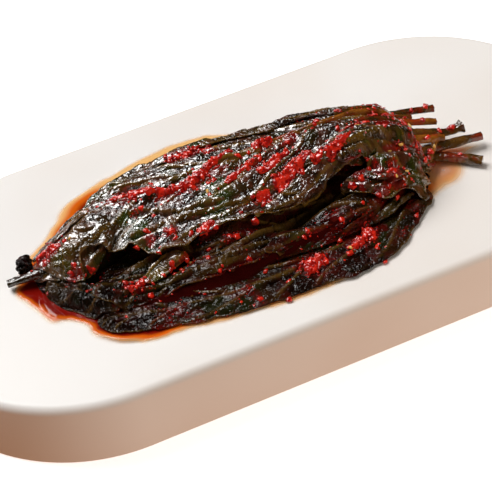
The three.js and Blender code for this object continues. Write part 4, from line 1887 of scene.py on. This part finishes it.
@dataclass
class FoldBrine:
    """The brine that has gathered in the long fold behind the front leaf, its near-black red partly painted
    shade of the fold.

    Attributes:
        way: The fold's line in plan.
        spread: How far the brine reaches to either side.
        rise: How high it stands over the leaves' middle level.
    """

    way: tuple[Point, ...] = (
        (20, -25.4), (12, -27), (4, -27.8), (-6, -28.4), (-16, -28.8), (-26, -28.6), (-36, -27.6),
        (-47, -25.6),
    )
    spread: float = 2.0
    rise: float = 0.22

    def build(self, ground: Ground, material: bpy.types.Material) -> None:
        """Lays a level film along the fold, thinned out towards its sides and ends.

        Args:
            ground: The leaves that it lies on.
            material: The brine.
        """
        piece, along, across = sheet_grid("fold_brine", 260, 22)
        middle = spline(self.way, along)
        x = middle[:, 0]
        y = middle[:, 1] + across * self.spread * (1 + 0.5 * noise(along * 14, 0 * along, 81))
        level = ground.at(x, y, ground.blurred(ground.heights, 0.9))
        set_vertices(piece, np.stack([x, y, level + self.rise * (1 - across**2)], 1) * MM)
        ends = eased(0, 0.14, along) * eased(0, 0.1, 1 - along)
        set_attribute(piece, "depth", 0.95 * (1 - 0.3 * across**2))
        set_attribute(piece, "cover", np.clip(1.5 * ends * (1 - np.abs(across) ** 1.5), 0, 0.96))
        finish_piece(piece, material, "paste")


# ---------------------------------------------------------------- the studio


@dataclass
class Studio:
    """The pale floor, the soft lights and the camera.

    Attributes:
        azimuth: Which side the camera looks from, in degrees.
        elevation: How far it looks down, in degrees.
        roll: How far it is rolled, in degrees.
        distance: How far it stands from its target.
        target: What it looks at.
        lens: Its focal length.
        warm_room: The room's light from below.
        cool_room: The room's light from above.
    """

    azimuth: float = -18.27
    elevation: float = 42.0
    roll: float = -8.66
    distance: float = 566.5
    target: Point = (-9.4, -15.6, 22.0)
    lens: float = 141.7
    warm_room: str = "#d2946a"
    cool_room: str = "#5a5856"

    def build(self) -> None:
        """Sets the floor, the lights, the room and the camera."""
        self._floor()
        self._light("key_softbox", (-500, 860, 1450), 1150, 8.5, "#ffffff")
        fill = self._light("side_fill", (560, -640, 150), 520, 5.2, "#fff8ec")
        fill.visible_glossy = False
        self._room()
        bpy.context.scene.view_settings.view_transform = "Standard"
        self._camera()

    def _floor(self) -> None:
        """Lays the floor just under the slab, so pale that it throws no light of its own on the sides."""
        deselect()
        bpy.ops.mesh.primitive_plane_add(size=6, location=(0, 0, (SLAB_LOW[2] - 0.02) * MM))
        floor = bpy.context.object
        floor.name = "floor"
        pale = PlainFinish("pale_floor", "#f4f3f2", "#f6f5f4", 0.9, 800).material()
        shader = pale.node_tree.nodes["Principled BSDF"]
        shader.inputs["Emission Color"].default_value = linear("#fffefc")
        shader.inputs["Emission Strength"].default_value = 0.75
        floor.data.materials.append(pale)
        floor.visible_diffuse = False
        floor.visible_glossy = False

    def _room(self) -> None:
        """Fills the room with dim light, warm from below as off a wooden table."""
        world = bpy.data.worlds.new("room")
        world.use_nodes = True
        nodes = Nodes(world.node_tree)
        ways = nodes.add("TexCoord", {}).outputs["Generated"]
        height = nodes.add("SeparateXYZ", {0: ways}).outputs["Z"]
        colour = nodes.blend(nodes.ramp(height, -0.25, 0.2), self.warm_room, self.cool_room)
        nodes.feed(world.node_tree.nodes["Background"], {"Color": colour, "Strength": 1.0})
        world.cycles_visibility.glossy = False
        bpy.context.scene.world = world

    @staticmethod
    def _light(name: str, place: Point, size: float, radiance: float, colour: str) -> bpy.types.Object:
        """Adds a square soft light that faces the bunch.

        Args:
            name: The light's name.
            place: Where it hangs.
            size: Its side length.
            radiance: How bright its face is, against 1 for paper white.
            colour: Its colour.

        Returns:
            The light.
        """
        deselect()
        bpy.ops.object.light_add(type="AREA", location=Vector(place) * MM)
        light = bpy.context.object
        light.name = name
        light.data.size = size * MM
        light.data.energy = radiance * math.pi * (size * MM) ** 2
        light.data.color = linear(colour)[:3]
        aim = Vector((0, 0, TOP)) - Vector(place)
        light.rotation_euler = aim.to_track_quat("-Z", "Y").to_euler()
        return light

    def _camera(self) -> None:
        """Aims the camera along the viewing angle and rolls it."""
        az, el, roll = (math.radians(a) for a in (self.azimuth, self.elevation, self.roll))
        back = Vector((math.sin(az) * math.cos(el), -math.cos(az) * math.cos(el), math.sin(el)))
        right = Vector((math.cos(az), math.sin(az), 0))
        up = back.cross(right)
        rolled_right = right * math.cos(roll) + up * math.sin(roll)
        rolled_up = up * math.cos(roll) - right * math.sin(roll)
        pose = Matrix((rolled_right, rolled_up, back)).transposed().to_4x4()
        pose.translation = (Vector(self.target) + back * self.distance) * MM
        deselect()
        bpy.ops.object.camera_add()
        camera = bpy.context.object
        camera.matrix_world = pose
        camera.data.lens = self.lens
        camera.data.sensor_width = 36
        camera.data.clip_end = 20
        bpy.context.scene.camera = camera


def main() -> None:
    """Builds the plate, the bunch, the paste, the sauce and the studio."""
    ground = Ground()
    Slab().build(Glaze().material())
    # The leaf skin wet with sauce: redder, and darker partly as painted shade of the front and lower leaves,
    # the core and the curl.
    soaked = LeafSkin(
        "soaked_leaf_skin", "#150804", "#2d1808", "#20200b", "#400f08", "#5f451a", "#70300c", "#520605",
        "#a8140e", panel=3.8, tilt=0.27, oil=0.4, oil_ior=1.6, skin_ior=1.35,
    )
    # A nearly black copy of the leaf skin: painted shade for the crumpled hollow under the tips.
    shaded = LeafSkin(
        "shaded_leaf_skin", "#120906", "#22150a", "#17170a", "#2a0e08", "#6a4a24", "#6a3410", "#600a08",
        panel=2.6, tilt=0.34, oil=0.4, oil_ior=1.5, skin_ior=1.3,
    )
    finishes = {Skin.GLOSSY: LeafSkin(), Skin.SOAKED: soaked, Skin.SHADED: shaded}
    skins = {skin: finish.material() for skin, finish in finishes.items()}
    leaves = bunch_leaves()
    Core().build(ground, leaves, skins[Skin.SOAKED])
    for leaf in leaves:
        leaf.build(ground, skins)
    covered = ground.heights > TOP + 0.6
    stalk_skins = {
        Tone.OLIVE: StalkSkin("olive_stalk").material(),
        Tone.ORANGE: StalkSkin("orange_stalk", "#5e340e", "#9c5c1a", "#942c10").material(),
        Tone.DARK: StalkSkin("dark_stalk", "#1a1208", "#33260f", "#3c140c").material(),
    }
    for stalk in bunch_stalks():
        stalk.build(ground, stalk_skins[stalk.tone])
    TipCurl().build(skins[Skin.SOAKED])
    # The fold's brine gets near-black reds: partly the brine's own colour, partly painted shade of the fold.
    FoldBrine().build(ground, Sauce("fold_brine_film", "#320605", "#6e1408", "#8a3010").material())
    paste = ChilliPaste().material()
    for lump in paste_lumps():
        lump.build(ground, paste)
    weight = strewing(ground, covered)
    flakes = Scatter("chilli_flakes", count=620, size=(0.34, 1.5), flat=0.3, seed=21, fixed=CHIPS)
    flakes.build(ground, weight, paste)
    seed_coat = PlainFinish("chilli_seed", "#e0a03c", "#f0c878", roughness=0.3, cloud=1).material()
    seeds = Scatter("chilli_seeds", count=14, size=(0.8, 1.25), flat=0.35, seed=33)
    seeds.build(ground, weight, seed_coat)
    Pool().build(Sauce().material())
    Studio().build()
    LOG.info("crown height over the slab: %.1f", float(ground.heights.max()) - TOP)


if __name__ == "__main__":
    main()
